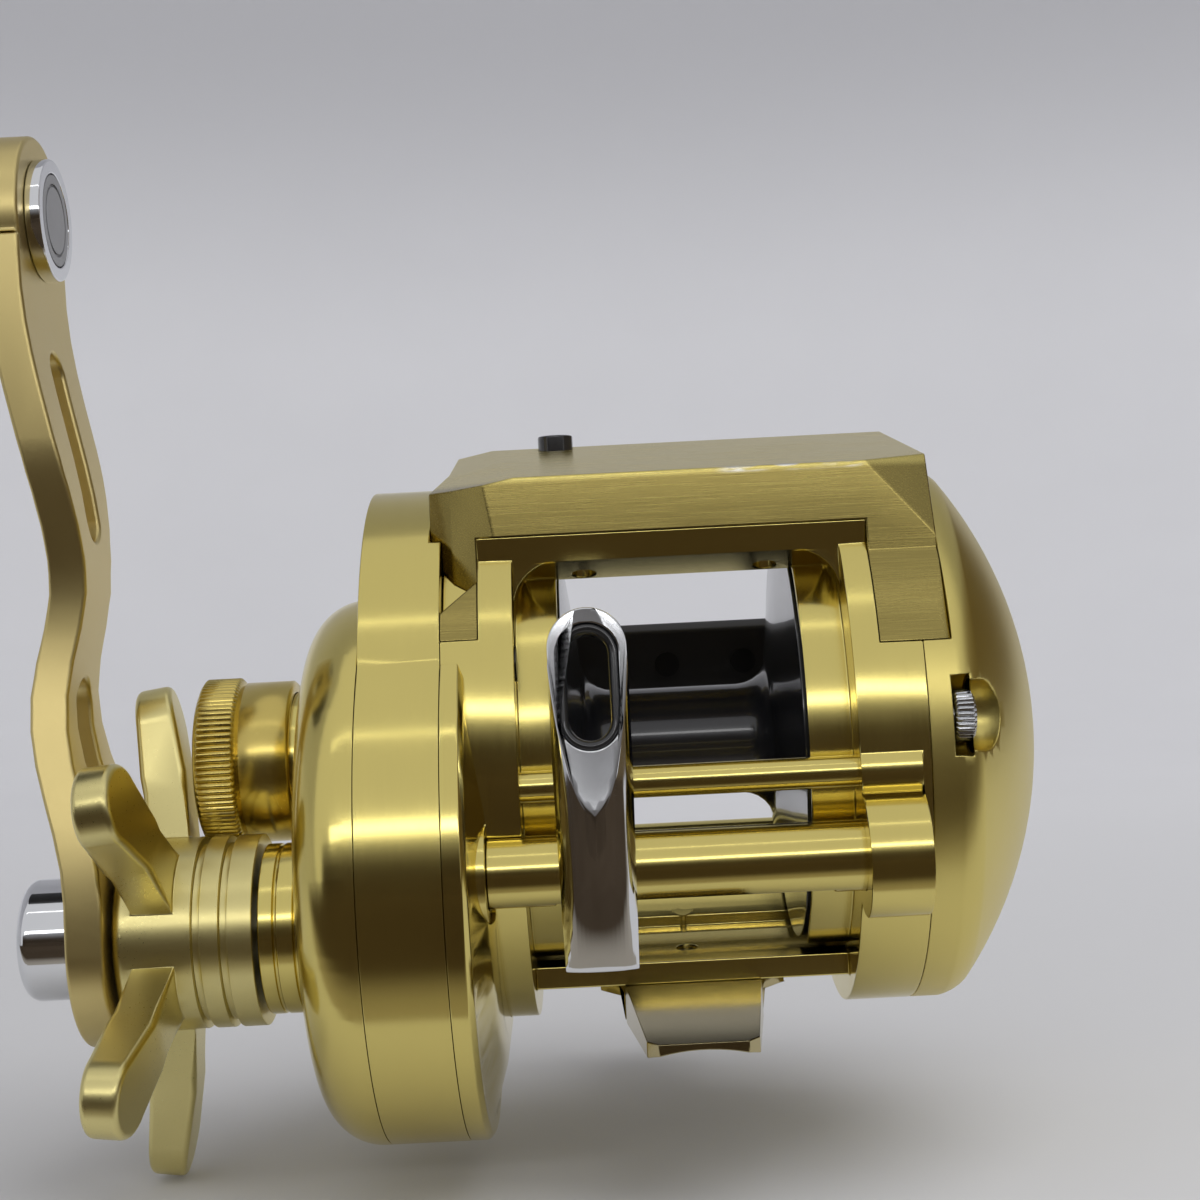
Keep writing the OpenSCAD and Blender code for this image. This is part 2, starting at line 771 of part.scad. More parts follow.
// Two-step bevel at the hood's front corner on the gear side, which ends on a slope above the leg
module hood_left_bevel() {
    corner = [x_case, -hood_fwd];
    difference() {
        translate([0, 0, spool_h + leg_left_h]) linear_extrude(body_r) polygon([
            [x_hood_l - over, -body_r], [x_case + hood_bevel, -body_r], corner + [hood_bevel, 0],
            corner + bevel_step, [x_hood_l - over, -hood_fwd + bevel_end]
        ]);
        translate([x_leg_l, 0, spool_h + bevel_foot]) rotate([0, -bevel_foot_slope, 0])
            translate([-40, -40, -80]) cube(80);
    }
}

// Places the black post on the hood's sloping top
module hood_post_at() {
    translate([-post_out, post_back, spool_h + hood_top(post_back)]) children();
}

// Places the hood's two screws, at the height of the spool's axis
module hood_screw_places() {
    for (side = [-1, 1]) translate([side * hood_screw_x, -hood_screw_fwd, spool_h]) children();
}

// Black post on the hood
module hood_post() {
    color(black) hood_post_at() translate([0, 0, -post_root + seat])
        cylinder(r = post_r, h = post_h + post_root);
}

// Two screws from under the crossbar into the hood
module hood_screws() {
    color(steel) hood_screw_places() translate([0, 0, hood_seat - hood_screw_in])
        cylinder(r = hood_screw_r, h = hood_screw_in + hood_screw_up - 0.2);
}

// Plated foot with a hollow underside, which a rod's reel seat clamps by its two toes
module reel_foot() {
    half = foot_len / 2;
    wing = foot_wing_len / 2;
    neck = wing + 1.5;
    pad = spool_h - floor_drop;
    edge = saddle_r - sqrt(saddle_r * saddle_r - foot_wing_w * foot_wing_w / 4);
    color(chrome) difference() {
        translate([0, foot_shift, 0]) intersection() {
            translate([0, 0, -edge]) linear_extrude(edge + pad - seat) union() {
                intersection() {
                    square([foot_wing_w, foot_wing_len], center = true);
                    circle(wing + 1);
                }
                polygon([for (end = [1, -1], corner = [
                    [toe_w / 2, neck], [toe_tip_w / 2, half - 1], [toe_tip_w / 2 - 1, half],
                    [1 - toe_tip_w / 2, half], [-toe_tip_w / 2, half - 1], [-toe_w / 2, neck]
                ]) end * corner]);
            }
            slab(-foot_wing_w, foot_wing_w) polygon([
                [-half, -edge], [half, -edge], [half, toe_tip_t - 0.4], [wing + 2, pad],
                [-wing - 2, pad], [-half, toe_tip_t - 0.4]
            ]);
        }
        translate([0, foot_shift, -saddle_r]) rotate([90, 0, 0])
            cylinder(r = saddle_r, h = foot_len + 2, center = true, $fn = 128);
        foot_screw_places() {
            cylinder(r = foot_screw_r + seat, h = pad + over);
            translate([0, 0, -1]) cylinder(r = foot_head_r + seat, h = 1.8);
        }
    }
}

// Places the foot's three screws
module foot_screw_places() {
    for (i = [-1, 0, 1]) translate([0, foot_screw_mid + i * foot_screw_pitch, 0]) children();
}

// Three screws that hold the foot to the frame's floor
module foot_screws() {
    color(steel) foot_screw_places() {
        translate([0, 0, 0.1]) cylinder(r = foot_head_r, h = 0.7 - seat);
        translate([0, 0, 0.5]) cylinder(r = foot_screw_r, h = spool_h - floor_drop + 0.3);
    }
}

// Tube round the worm, slotted underneath for the pawl
module worm_tube() {
    reach = x_in_r - guide_hw - 0.6 + pawl_r;
    color(gold) difference() {
        tube(x_tube_l + seat, x_tube_r - seat, tube_r, tube_r - tube_wall, W);
        translate([-reach - 0.2, W.x - pawl_r - 0.2, W.y - tube_r - 1])
            cube([2 * reach + 0.4, 2 * pawl_r + 0.4, tube_r]);
    }
}

// Thin bar that keeps the line guide upright
module guide_bar() {
    color(gold) rod(x_in_l - 2 + seat, x_in_r + 2 - seat, bar_r, B);
}

// Plain bearings at the worm's ends
module worm_bushes() {
    color(brass) {
        tube(x_case + seat, x_tube_l - seat, tube_r, worm_end_r + fit, W);
        tube(x_tube_r + seat, x_boss - 1 - seat, worm_end_r + 1 - seat, worm_end_r + fit, W);
    }
}

// Bush for the inner end of the drive shaft
module drive_bush() {
    color(brass) tube(x_case, x_web, bush_r, drive_end_r + fit, D);
}

// Roller clutch that stops the handle from turning backwards
module one_way_bearing() {
    color(steel) difference() {
        tube(x_collar + 1.6, x_end_in, one_way_r, sleeve_r + fit, D);
        for (i = [0 : 5]) rod(x_collar + 2.4, x_end_in - 0.8, 0.5,
            D + (sleeve_r + one_way_r) / 2 * [cos(60 * i), sin(60 * i)]);
    }
}

// Ball bearing at the mouth of the collar
module drive_bearing() {
    color(steel) bearing(x_collar + 0.1, 1.5 - seat, one_way_r, sleeve_r + fit, D);
}

// Ball bearing inside the brake knob's neck
module gear_side_spool_bearing() {
    color(steel) bearing(x_bearing_l, bearing_w, bearing_r, shaft_d / 2 + fit, S);
}

// Two pins on which the clutch yoke slides
module clutch_guide_pins() {
    color(steel) for (at = guide_pins) rod(x_end_in + seat, x_case - seat, guide_pin_r, at);
}

// Domed palm cover with a finger scoop, a spigot and the spool bearing's hub
module palm_cover() {
    cavity_r = bore_r - 1.4;
    pocket_r = cavity_r - 0.4;
    race_out = brake_race_r + race_wall + 1.4;
    edge_c = body_r - dome_edge;
    edge_x = dome_w - dome_r + sqrt(pow(dome_r - dome_edge, 2) - edge_c * edge_c);
    lean = atan2(edge_c, edge_x - dome_w + dome_r);
    color(gold) difference() {
        union() {
            lathe(x_palm, S) difference() {
                intersection() {
                    translate([0, dome_w - dome_r]) circle(dome_r);
                    square([body_r, dome_w]);
                }
                translate([edge_c, edge_x]) difference() {
                    polygon(3 * dome_edge * [[0, 0], [sin(lean), cos(lean)], [1, cos(lean)], [1, 0]]);
                    circle(dome_edge + fit);
                }
                intersection() {
                    translate([0, dome_w - dome_r]) circle(dome_r - dome_wall);
                    translate([0, -over]) square([pocket_r, dome_w + 1]);
                }
                translate([0, -over]) square([cavity_r, 1.2 + over]);
            }
            tube(x_palm - spigot, x_palm + 1, bore_r - 0.08, cavity_r, S);
            rod(x_palm - 0.8, dome_inside(bearing_r + 1.8) + 0.8, bearing_r + 1.8, S);
            tube(x_palm - 3.2, dome_inside(race_out) + 0.8, race_out, brake_race_r + race_wall + seat, S);
        }
        rod(x_palm - 2, x_bearing_r + bearing_w + seat, bearing_r + seat, S);
        rod(x_palm, x_shaft_r + 1, shaft_d / 2 + 0.6, S);
        rod(x_palm - over, x_thumb + over, thumb_screw_r + 0.15, T);
        lathe(x_thumb, T - [scoop_fwd, 0]) round_edge(scoop_r, scoop_len, scoop_r - fit);
        rod(x_thumb - 0.1, x_thumb + scoop_seat[2], scoop_seat[1], T - [scoop_seat[0], 0]);
        tube(x_seal - seat, x_seal + seal_w + seat, bore_r, bore_r - seal_t - seat, S);
        hood_space(seat);
    }
}

// Plane of the dome's inner face at a radius
function dome_inside(r) = x_dome - dome_r + sqrt(pow(dome_r - dome_wall, 2) - r * r);

// Drum that the brake shoes rub on
module brake_race() {
    color(brass) tube(x_palm - 3.2, x_palm - 0.6, brake_race_r + race_wall, brake_race_r, S);
}

// Ball bearing in the palm cover
module palm_side_spool_bearing() {
    color(steel) bearing(x_bearing_r, bearing_w, bearing_r, shaft_d / 2 + fit, S);
}

// Rubber ring between the palm cover's rim and the frame
module cover_seal() {
    color(black) difference() {
        tube(x_seal, x_seal + seal_w, bore_r - fit, bore_r - seal_t, S);
        hood_space(seat);
    }
}

// Knurled screw in the scoop, which holds the palm cover on
module cover_thumbscrew() {
    color(steel) {
        rod(x_thumb + 0.1, x_thumb + thumb_w, thumb_r, T);
        rod(x_palm - 5, x_thumb + 0.5, thumb_screw_r, T);
    }
}

// Empty spool with dished flanges
module spool() {
    rim = spool_half - rim_t;
    well = 1.6;
    color(black) difference() {
        lathe(0, S) difference() {
            translate([0, -spool_half]) square([spool_r, 2 * spool_half]);
            spool_groove(rim);
            for (side = [-1, 1]) scale([1, side])
                polygon([
                    [arbor_r + 1, spool_half + over], [arbor_r + 1, spool_half - well - 1.2],
                    [spool_r - 2, spool_half - well + 0.6], [spool_r - 1.2, spool_half + over]
                ]);
        }
        rod(-spool_half - over, spool_half + over, shaft_d / 2 + seat, S);
    }
}

// Profile of the space for line, with rounded corners at the arbor
module spool_groove(rim) {
    half = arbor_w / 2;
    f = arbor_fillet;
    polygon(concat(
        [[spool_r + over, -rim], [spool_r + over, rim], [spool_r - 0.6, rim]],
        [for (a = [0 : 15 : 90]) [arbor_r + f - f * sin(a), half - f + f * cos(a)]],
        [for (a = [90 : -15 : 0]) [arbor_r + f - f * sin(a), f - half - f * cos(a)]],
        [[spool_r - 0.6, -rim]]
    ));
}

// Steel shaft through the spool
module spool_shaft() {
    color(steel) difference() {
        rod(x_shaft_l, x_shaft_r, shaft_d / 2, S);
        translate([x_pinion_r - 0.6, 0, spool_h]) cylinder(r = 0.5 + seat, h = 10, center = true);
    }
}

// Cross pin that the pinion drives
module spool_pin() {
    color(steel) translate([x_pinion_r - 0.6, 0, spool_h]) cylinder(r = 0.5, h = 5, center = true);
}

// Carrier of the brake shoes, on the spool's palm side
module brake_hub() {
    color("#7a5a33") difference() {
        union() {
            rod(spool_half + seat, x_brake, arbor_r, S);
            rod(x_brake, x_palm - 1.6, brake_hub_r, S);
        }
        rod(spool_half - over, x_palm, shaft_d / 2 + seat, S);
    }
}

// Four shoes round the carrier
module brake_shoes() {
    color("#e8e4d8") intersection() {
        tube(x_palm - 3, x_palm - 1.8, brake_race_r - 0.4, brake_hub_r + seat, S);
        for (a = [45, 135, 225, 315]) translate([x_palm - 4, 0, spool_h]) rotate([a, 0, 0])
            translate([0, brake_hub_r / 2, -1.6]) cube([4, brake_hub_r, 3.2]);
    }
}

// Bar behind the spool that the thumb presses to free it
module thumb_bar() {
    low = spool_h + bar_top - bar_h;
    half = x_in_r - run;
    color(black) {
        difference() {
            slab(-half, half) polygon([
                [bar_y, low], [bar_y, low + bar_h - 0.8], [bar_y + 0.8, low + bar_h],
                [bar_y + bar_t - 2, low + bar_h], [bar_y + bar_t, low + bar_h - 2.5], [bar_y + bar_t, low]
            ]);
            for (x = bar_screw_x) translate([x, bar_y + 2, spool_h + bar_screw_up]) rotate([90, 0, 0])
                cylinder(r = bar_screw_r + seat, h = 4);
        }
        for (x = [-half - tongue_w, half - 1])
            translate([x, tongue_y, spool_h + tongue_z[0]])
                cube([tongue_w + 1, tongue_t, tongue_z[1] - tongue_z[0]]);
        rod(x_case - 0.2 - cam_t - 0.2, -half, link_r, [link_y, spool_h + link_up]);
    }
}

// Two round-headed screws in the thumb bar's face
module thumb_bar_screws() {
    color(black) for (x = bar_screw_x) translate([x, bar_y, spool_h + bar_screw_up]) rotate([90, 0, 0]) {
        translate([0, 0, -1.8]) cylinder(r = bar_screw_r, h = 1.9);
        cylinder(r = bar_screw_r + 0.5, h = 0.25);
    }
}

// Cam plate that turns when the thumb bar goes down and lifts the yoke
module clutch_cam() {
    x0 = x_case - 0.2 - cam_t;
    slot = link_r + run;
    color(steel) difference() {
        union() {
            rod(x0, x0 + cam_t, cam_hub_r, S);
            translate([x0, 0, spool_h]) rotate([cam_angle, 0, 0])
                translate([0, 0, -2]) cube([cam_t, link_y + 0.6, 4]);
            for (side = [-1, 1]) rod(x_yoke + yoke_t + 0.2, x0 + 0.1, 0.6,
                S + side * 4.85 * [cos(drive_angle + 90), sin(drive_angle + 90)]);
        }
        rod(x0 - over, x0 + cam_t + over, cam_bore_r - run, S);
        translate([x0 - over, 0, spool_h]) rotate([cam_angle, 0, 0])
            translate([0, link_y - slot - 0.2, -slot]) cube([cam_t + 1, 4, 2 * slot]);
    }
}

// Forked yoke that slides the pinion in and out of the spool's pin
module clutch_yoke() {
    color(steel) difference() {
        translate([x_yoke, 0, spool_h]) rotate([drive_angle + 90, 0, 0])
            translate([0, -yoke_reach - 2.4, -3.4]) cube([yoke_t, 2 * yoke_reach + 4.8, 6.8]);
        translate([x_yoke - over, 0, spool_h]) rotate([drive_angle + 90, 0, 0])
            translate([0, -pinion_neck_r - run, -4]) cube([yoke_t + 1, 2 * (pinion_neck_r + run), 4]);
        rod(x_yoke - over, x_yoke + yoke_t + over, pinion_neck_r + run, S);
        for (at = guide_pins) rod(x_yoke - over, x_yoke + yoke_t + over, guide_pin_r + 0.08, at);
    }
}

// Springs on the guide pins that push the yoke home
module clutch_springs() {
    color(steel) for (at = guide_pins)
        tube(x_yoke - 2.2, x_yoke - seat, guide_pin_r + 0.75, guide_pin_r + 0.25, at);
}

// Pinion with the yoke's groove and a slot for the spool's pin
module pinion() {
    turn = drive_angle + 180 / pinion_teeth;
    color(brass) difference() {
        union() {
            translate([0, S.x, S.y]) slab(x_teeth_l, x_teeth_r)
                rotate(turn) polygon(gear_outline(pinion_teeth, gear_module));
            rod(x_teeth_r - 0.2, x_pinion_r, pinion_hub_r, S);
            rod(x_pinion_l, x_teeth_l + 0.2, pinion_neck_r, S);
            rod(x_pinion_l, x_yoke - 0.2, pinion_hub_r, S);
        }
        rod(x_pinion_l - over, x_pinion_r + over, pinion_bore, S);
        translate([x_pinion_r - 1.3, -0.65, spool_h - 4]) cube([2, 1.3, 8]);
    }
}

// Drive shaft from the frame's web to the handle nut
module drive_shaft() {
    color(steel) {
        rod(x_case - 0.3, x_web - 0.2, drive_end_r, D);
        rod(x_shaft_end, x_case - 0.3, drive_r, D);
        rod(x_case - 0.45, x_case - 0.2, drive_r + 1.5, D);
    }
}

// Main gear, in mesh with the pinion
module main_gear() {
    color(brass) spur(x_gear, x_gear + main_gear_w, gear_teeth, gear_module, D, drive_angle + 180,
        drive_r + seat);
}

// Friction washers of the drag
module drag_washers() {
    step = drag_t + drag_gap;
    color("#33302c") for (i = [0 : drag_layers - 1])
        tube(x_gear - (2 * i + 1) * step, x_gear - (2 * i + 1) * step + drag_t, drag_r, drive_r + 0.6, D);
}

// Metal plates between the friction washers
module drag_plates() {
    step = drag_t + drag_gap;
    color(steel) for (i = [1 : drag_layers])
        tube(x_gear - 2 * i * step, x_gear - 2 * i * step + drag_t, drag_r, drive_r + seat, D);
}

// Gear on the drive shaft that turns the level wind
module level_wind_gear() {
    color("#e9e4d6") spur(x_lw, x_lw + lw_gear_w, lw_gear_teeth, lw_module, D, atan2(W.y - D.y, W.x - D.x),
        drive_r + seat);
}

// Sleeve inside the roller clutch, between the drag and the star wheel
module drive_sleeve() {
    color(steel) tube(x_sleeve_end, x_drag - seat, sleeve_r, drive_r + seat, D);
}

// Distance outwards of the arm's inner face, at a height above the drive shaft
function arm_x(h) = x_arm
    - arm_bow * ease((h - 4) / 17)
    + arm_return * ease((h - 21) / 12)
    - (arm_lean - arm_bow + arm_return) * ease((h - 33) / (handle_len - 38));

// Half width of the arm at a height above the drive shaft
function arm_half(h) =
    h < 31 ? arm_hub_r + (arm_waist - arm_hub_r) * ease(h / 31)
    : arm_waist + (arm_end_r - arm_waist) * ease((h - 31) / 14);

// Cranked handle arm with two long slots
module handle_arm() {
    low = -arm_hub_r - 1;
    high = handle_len + arm_end_r + 1;
    step = 3;
    heights = [for (h = [low : step : high]) h];
    rises = [for (h = [0 : step : handle_len]) h];
    color(gold) difference() {
        intersection() {
            translate([0, D.x + arm_hub_r + 1, D.y]) rotate([90, 0, 0]) linear_extrude(2 * arm_hub_r + 2)
                polygon(concat(
                    [for (h = heights) [arm_x(h), h]],
                    [for (i = [len(heights) - 1 : -1 : 0]) [arm_x(heights[i]) - arm_t, heights[i]]]
                ));
            translate([0, D.x, D.y]) slab(x_arm - 20, x_arm + over) union() {
                circle(arm_hub_r);
                translate([0, handle_len]) circle(arm_end_r);
                polygon(concat(
                    [for (h = rises) [arm_half(h), h]],
                    [for (i = [len(rises) - 1 : -1 : 0]) [-arm_half(rises[i]), rises[i]]]
                ));
            }
        }
        rod(x_arm - 20, x_arm + 5, drive_r + seat, D);
        rod(x_arm - 20, x_arm + 5, drive_r + seat, K);
        arm_slot(38, 51, 2.1);
        arm_slot(13, 21, 2.5);
    }
}

// Long slot through the arm between two heights
module arm_slot(low, high, r) {
    translate([0, D.x, D.y]) slab(x_arm - 20, x_arm + 5) {
        translate([0, low]) circle(r);
        translate([0, high]) circle(r);
        translate([-r, low]) square([2 * r, high - low]);
    }
}

// Chrome cap nut on the drive shaft's end
module handle_nut() {
    color(chrome) difference() {
        lathe_left(x_arm - arm_t - seat, D) round_edge(nut_r, nut_h, 1.2);
        rod(x_shaft_end - 0.1, x_arm, drive_r + seat, D);
    }
}

// Knob's axle, with its round head on the inside of the arm
module knob_post() {
    x0 = arm_x(handle_len);
    color(chrome) difference() {
        union() {
            rod(x0 + seat, x0 + 1.4, 5.5, K);
            rod(x0 - arm_t - 1, x0 + 0.5, drive_r, K);
            rod(x0 - arm_t - knob_len + 1, x0, drive_end_r, K);
            rod(x0 - arm_t - 0.9, x0 - arm_t - seat, 4.4, K);
        }
        rod(x0 + 0.9, x0 + 3, 4.2, K);
    }
}

// Grey disc in the head of the knob's axle
module knob_post_cap() {
    x0 = arm_x(handle_len);
    color("#77787c") difference() {
        rod(x0 + 0.9 + seat, x0 + 1.35, 4.1, K);
        tube(x0 + 1.15, x0 + 2, 3.3, 3.0, K);
    }
}

// Five-armed star wheel that sets the drag
module star_drag() {
    color(gold) difference() {
        union() {
            lathe_left(x_star, D) difference() {
                round_edge(star_hub_r, star_len, 1);
                for (groove = [2.2, 4.6]) translate([star_hub_r - 0.7, groove]) square([2, 0.7]);
            }
            for (i = [0 : 4]) star_arm(180 - star_turn - 36 - 72 * i);
        }
        rod(x_star_out - over, x_star + over, drive_r + 0.1, D);
        rod(x_star - 4.6, x_star + over, sleeve_r + 1.2, D);
    }
}

// One arm of the star wheel, at an angle in the wheel's plane, leaning from the hub's edge
module star_arm(a) {
    tip = star_arm_w / 2;
    belly = star_hub_r + (star_r - star_hub_r) * 0.4;
    translate([x_star_arm, D.x, D.y]) rotate([a, 0, 0]) translate([0, star_hub_r, 0])
        rotate([0, 0, star_lean]) translate([0, -star_hub_r, 0]) intersection() {
            slab(-2 * star_t, star_t) {
                polygon([
                    [0, -tip * 1.1], [star_r * 0.55, -tip * 0.72], [star_r - tip, -tip],
                    [star_r - tip, tip], [star_r * 0.55, tip * 0.72], [0, tip * 1.1]
                ]);
                translate([star_r - tip, 0]) circle(tip);
            }
            translate([0, 0, -star_arm_w]) linear_extrude(2 * star_arm_w) polygon([
                [0, -over], [0, star_hub_r], [star_belly, belly], [-star_thin, star_r + over],
                [star_thin - star_t, star_r + over], [-star_belly - star_t, belly],
                [-star_t, star_hub_r], [-star_t, -over]
            ]);
        }
}

// Dished washers under the star wheel
module star_spring_washers() {
    color(steel) for (i = [0, 1])
        tube(x_sleeve_end - 0.55 - 0.55 * i, x_sleeve_end - 0.1 - 0.55 * i, sleeve_r + 0.8, drive_r + 0.15, D);
}

// Round power knob
module handle_knob() {
    x0 = arm_x(handle_len) - arm_t - 1.4;
    color(black) difference() {
        lathe_left(x0, K) polygon([
            [0, 0], [knob_r * 0.62, 0], [knob_r * 0.72, 1.2], [knob_r * 0.86, knob_len * 0.2],
            [knob_r * 0.97, knob_len * 0.38], [knob_r, knob_len * 0.52], [knob_r * 0.97, knob_len * 0.68],
            [knob_r * 0.88, knob_len * 0.84], [knob_r * 0.74, knob_len * 0.95], [knob_r * 0.6, knob_len],
            [0, knob_len]
        ]);
        rod(x0 - knob_len + 2, x0 + over, 3.6, K);
        rod(x0 - knob_len - over, x0 - knob_len + 2.5, 5, K);
    }
}

// Two ball bearings inside the knob
module knob_bearings() {
    x0 = arm_x(handle_len) - arm_t - 1.4;
    color(steel) for (x = [x0 - 3.2, x0 - knob_len + 4.4])
        bearing(x, 2.5, 3.6 - seat, drive_end_r + fit, K);
}

// Gold plug in the knob's outer end
module knob_cap() {
    x0 = arm_x(handle_len) - arm_t - 1.4 - knob_len;
    color(gold) lathe(x0 + 0.2, K) polygon([[0, 0], [4.2, 0], [5 - seat, 0.6], [5 - seat, 1.7], [0, 1.7]]);
}

// Knurled knob that presses on the spool shaft's end
module cast_knob() {
    color(gold) difference() {
        lathe_left(x_cast, S) {
            square([cast_r - 0.5, cast_len - cast_rim_w]);
            translate([0, cast_len - cast_rim_w]) round_edge(cast_r, cast_rim_w, 1);
        }
        rod(x_cast + over, x_neck - 0.6, neck_r + 0.08, S);
        rod(x_neck, x_neck - 2, bearing_r - 0.6, S);
    }
}

// Friction disc under the brake knob's end
module cast_shim() {
    color(brass) rod(x_neck - 2 + seat, x_neck - 1.2, bearing_r - 0.7, S);
}

// Rubber ring inside the brake knob
module cast_knob_seal() {
    color(black) tube(x_neck - 0.6 + seat, x_neck - 0.15, neck_r, bearing_r - 0.3, S);
}

// Worm that drives the pawl
module worm_shaft() {
    color(steel) {
        rod(x_tube_l + 0.3, x_tube_r - 0.3, worm_r, W);
        rod(x_lw - worm_end_out, x_boss - 1.4, worm_end_r, W);
    }
}

// Gear on the worm's end
module worm_gear() {
    turn = atan2(D.y - W.y, D.x - W.x) + 180 / lw_pinion_teeth;
    color("#e9e4d6") spur(x_lw, x_lw + lw_gear_w, lw_pinion_teeth, lw_module, W, turn, worm_end_r + seat);
}

// Line guide: a tall eye on a column that rides on the tube and the bar
module line_guide() {
    wide = guide_hw + 1;
    color(chrome) difference() {
        intersection() {
            translate([guide_x, W.x, spool_h - guide_bottom])
                linear_extrude(guide_bottom + guide_top + over) guide_plan();
            translate([guide_x, W.x + guide_back + over, spool_h]) rotate([90, 0, 0])
                linear_extrude(guide_front + guide_back + 2 * over) guide_outline();
        }
        on_guide_face() translate([-wide, -guide_front, -over]) cube([2 * wide, guide_front, 2 * guide_top]);
        translate([guide_x - wide, W.x - guide_front + eye_deep, z_guide_step])
            cube([2 * wide, guide_front + guide_back, guide_top]);
        rod(guide_x - 6, guide_x + 6, tube_r + 0.08, W);
        rod(guide_x - 6, guide_x + 6, bar_r + 0.06, B);
        rod(guide_x - 6, guide_x + 6, bore_r + lip_t + run, S);
        eye_slot(eye_w / 2 + eye_rim + seat, -over, eye_deep + 0.4);
        translate([guide_x, W.x, spool_h - guide_bottom - over]) {
            cylinder(r = pawl_r + fit, h = worm_drop);
            cylinder(r = pawl_cap_r + seat, h = over + pawl_cap_t + 0.05);
        }
    }
}

// The guide from above: a round nose towards the line, straight sides behind it
module guide_plan() {
    nose = nose_r - guide_front;
    translate([0, nose]) circle(nose_r);
    translate([-nose_r, nose]) square([2 * nose_r, guide_back - nose]);
}

// The guide from the front, with heights from the spool's axis
module guide_outline() {
    top = guide_top - guide_hw;
    translate([0, top]) circle(guide_hw);
    polygon([
        [-foot_hw, -guide_bottom], [foot_hw, -guide_bottom], [guide_hw, 0],
        [guide_hw, top], [-guide_hw, top], [-guide_hw, 0]
    ]);
}

// Places children on the guide's leaning face: y into the guide, z up along the face
module on_guide_face() {
    translate([guide_x, W.x - guide_front, spool_h - face_drop]) rotate([-face_lean, 0, 0]) children();
}

// Tall slot square to the guide's face, between two depths, with a given half width
module eye_slot(r, y0, y1) {
    half = (eye_h - eye_w) / 2;
    on_guide_face() translate([0, y0, eye_up]) rotate([-90, 0, 0]) linear_extrude(y1 - y0) union() {
        for (side = [-1, 1]) translate([0, side * half]) circle(r);
        translate([-r, -half]) square([2 * r, 2 * half]);
    }
}

// Black ring that lines the eye
module eye_ring() {
    color(black) difference() {
        eye_slot(eye_w / 2 + eye_rim, eye_ring_y[0], eye_ring_y[1]);
        eye_slot(eye_w / 2, eye_ring_y[0] - over, eye_ring_y[1] + over);
    }
}

// Pawl that follows the worm's groove
module pawl() {
    low = spool_h - guide_bottom + pawl_cap_t + 0.1;
    color(steel) translate([guide_x, W.x, low]) cylinder(r = pawl_r, h = W.y - worm_r - 0.15 - low);
}

// Cap that holds the pawl in the guide
module pawl_cap() {
    color(chrome) translate([guide_x, W.x, spool_h - guide_bottom])
        cylinder(r = pawl_cap_r, h = pawl_cap_t);
}

frame();
inner_case_plate();
gear_case();
gear_cover();
cover_screws();
case_screws();
top_hood();
hood_post();
hood_screws();
reel_foot();
foot_screws();
worm_tube();
guide_bar();
worm_bushes();
drive_bush();
one_way_bearing();
drive_bearing();
gear_side_spool_bearing();
clutch_guide_pins();
palm_cover();
brake_race();
palm_side_spool_bearing();
cover_seal();
cover_thumbscrew();
spool();
spool_shaft();
spool_pin();
brake_hub();
brake_shoes();
thumb_bar();
thumb_bar_screws();
clutch_cam();
clutch_yoke();
clutch_springs();
pinion();
drive_shaft();
main_gear();
drag_washers();
drag_plates();
level_wind_gear();
drive_sleeve();
handle_arm();
handle_nut();
knob_post();
knob_post_cap();
star_drag();
star_spring_washers();
handle_knob();
knob_bearings();
knob_cap();
cast_knob();
cast_shim();
cast_knob_seal();
worm_shaft();
worm_gear();
line_guide();
eye_ring();
pawl();
pawl_cap();
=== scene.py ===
# %% [markdown]
# # A gold baitcasting reel
# The CAD model gives every solid of the reel its place and size. This lesson gives the reel its looks:
# rounded edges, turned and brushed metal, a chrome line guide and a small photo studio.
# The CAD model's box is measured first, and the paper is laid just below its lowest point.

import json
import math

import bmesh
import bpy
from mathutils import Matrix, Vector


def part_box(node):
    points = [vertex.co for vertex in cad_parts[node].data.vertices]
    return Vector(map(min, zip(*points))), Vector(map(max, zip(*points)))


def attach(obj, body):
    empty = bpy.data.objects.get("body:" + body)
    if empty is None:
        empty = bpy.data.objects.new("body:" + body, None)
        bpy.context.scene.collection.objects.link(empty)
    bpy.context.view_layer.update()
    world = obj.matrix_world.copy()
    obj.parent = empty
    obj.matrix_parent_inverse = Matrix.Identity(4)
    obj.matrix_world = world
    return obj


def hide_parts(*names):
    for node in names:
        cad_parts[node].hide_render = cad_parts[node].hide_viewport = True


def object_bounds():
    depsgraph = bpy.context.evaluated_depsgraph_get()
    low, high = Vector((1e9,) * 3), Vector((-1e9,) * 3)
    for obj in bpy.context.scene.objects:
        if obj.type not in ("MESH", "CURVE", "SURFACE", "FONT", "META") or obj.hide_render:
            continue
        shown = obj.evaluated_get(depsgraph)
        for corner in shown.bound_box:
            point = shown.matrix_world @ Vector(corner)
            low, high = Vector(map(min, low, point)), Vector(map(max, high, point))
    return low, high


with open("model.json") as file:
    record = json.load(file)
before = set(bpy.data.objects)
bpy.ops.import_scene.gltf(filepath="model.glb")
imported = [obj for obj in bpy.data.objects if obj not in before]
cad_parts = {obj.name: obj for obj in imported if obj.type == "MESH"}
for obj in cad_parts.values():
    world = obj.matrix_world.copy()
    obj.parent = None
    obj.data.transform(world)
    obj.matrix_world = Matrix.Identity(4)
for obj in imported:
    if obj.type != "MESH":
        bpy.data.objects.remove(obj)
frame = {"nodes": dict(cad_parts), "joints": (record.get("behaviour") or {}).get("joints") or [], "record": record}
cad_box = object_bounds()
nodes = frame["nodes"]
bodies = frame["record"]["behaviour"]["bodies"]
body_of = {node: body for body, members in bodies.items() for node in members}

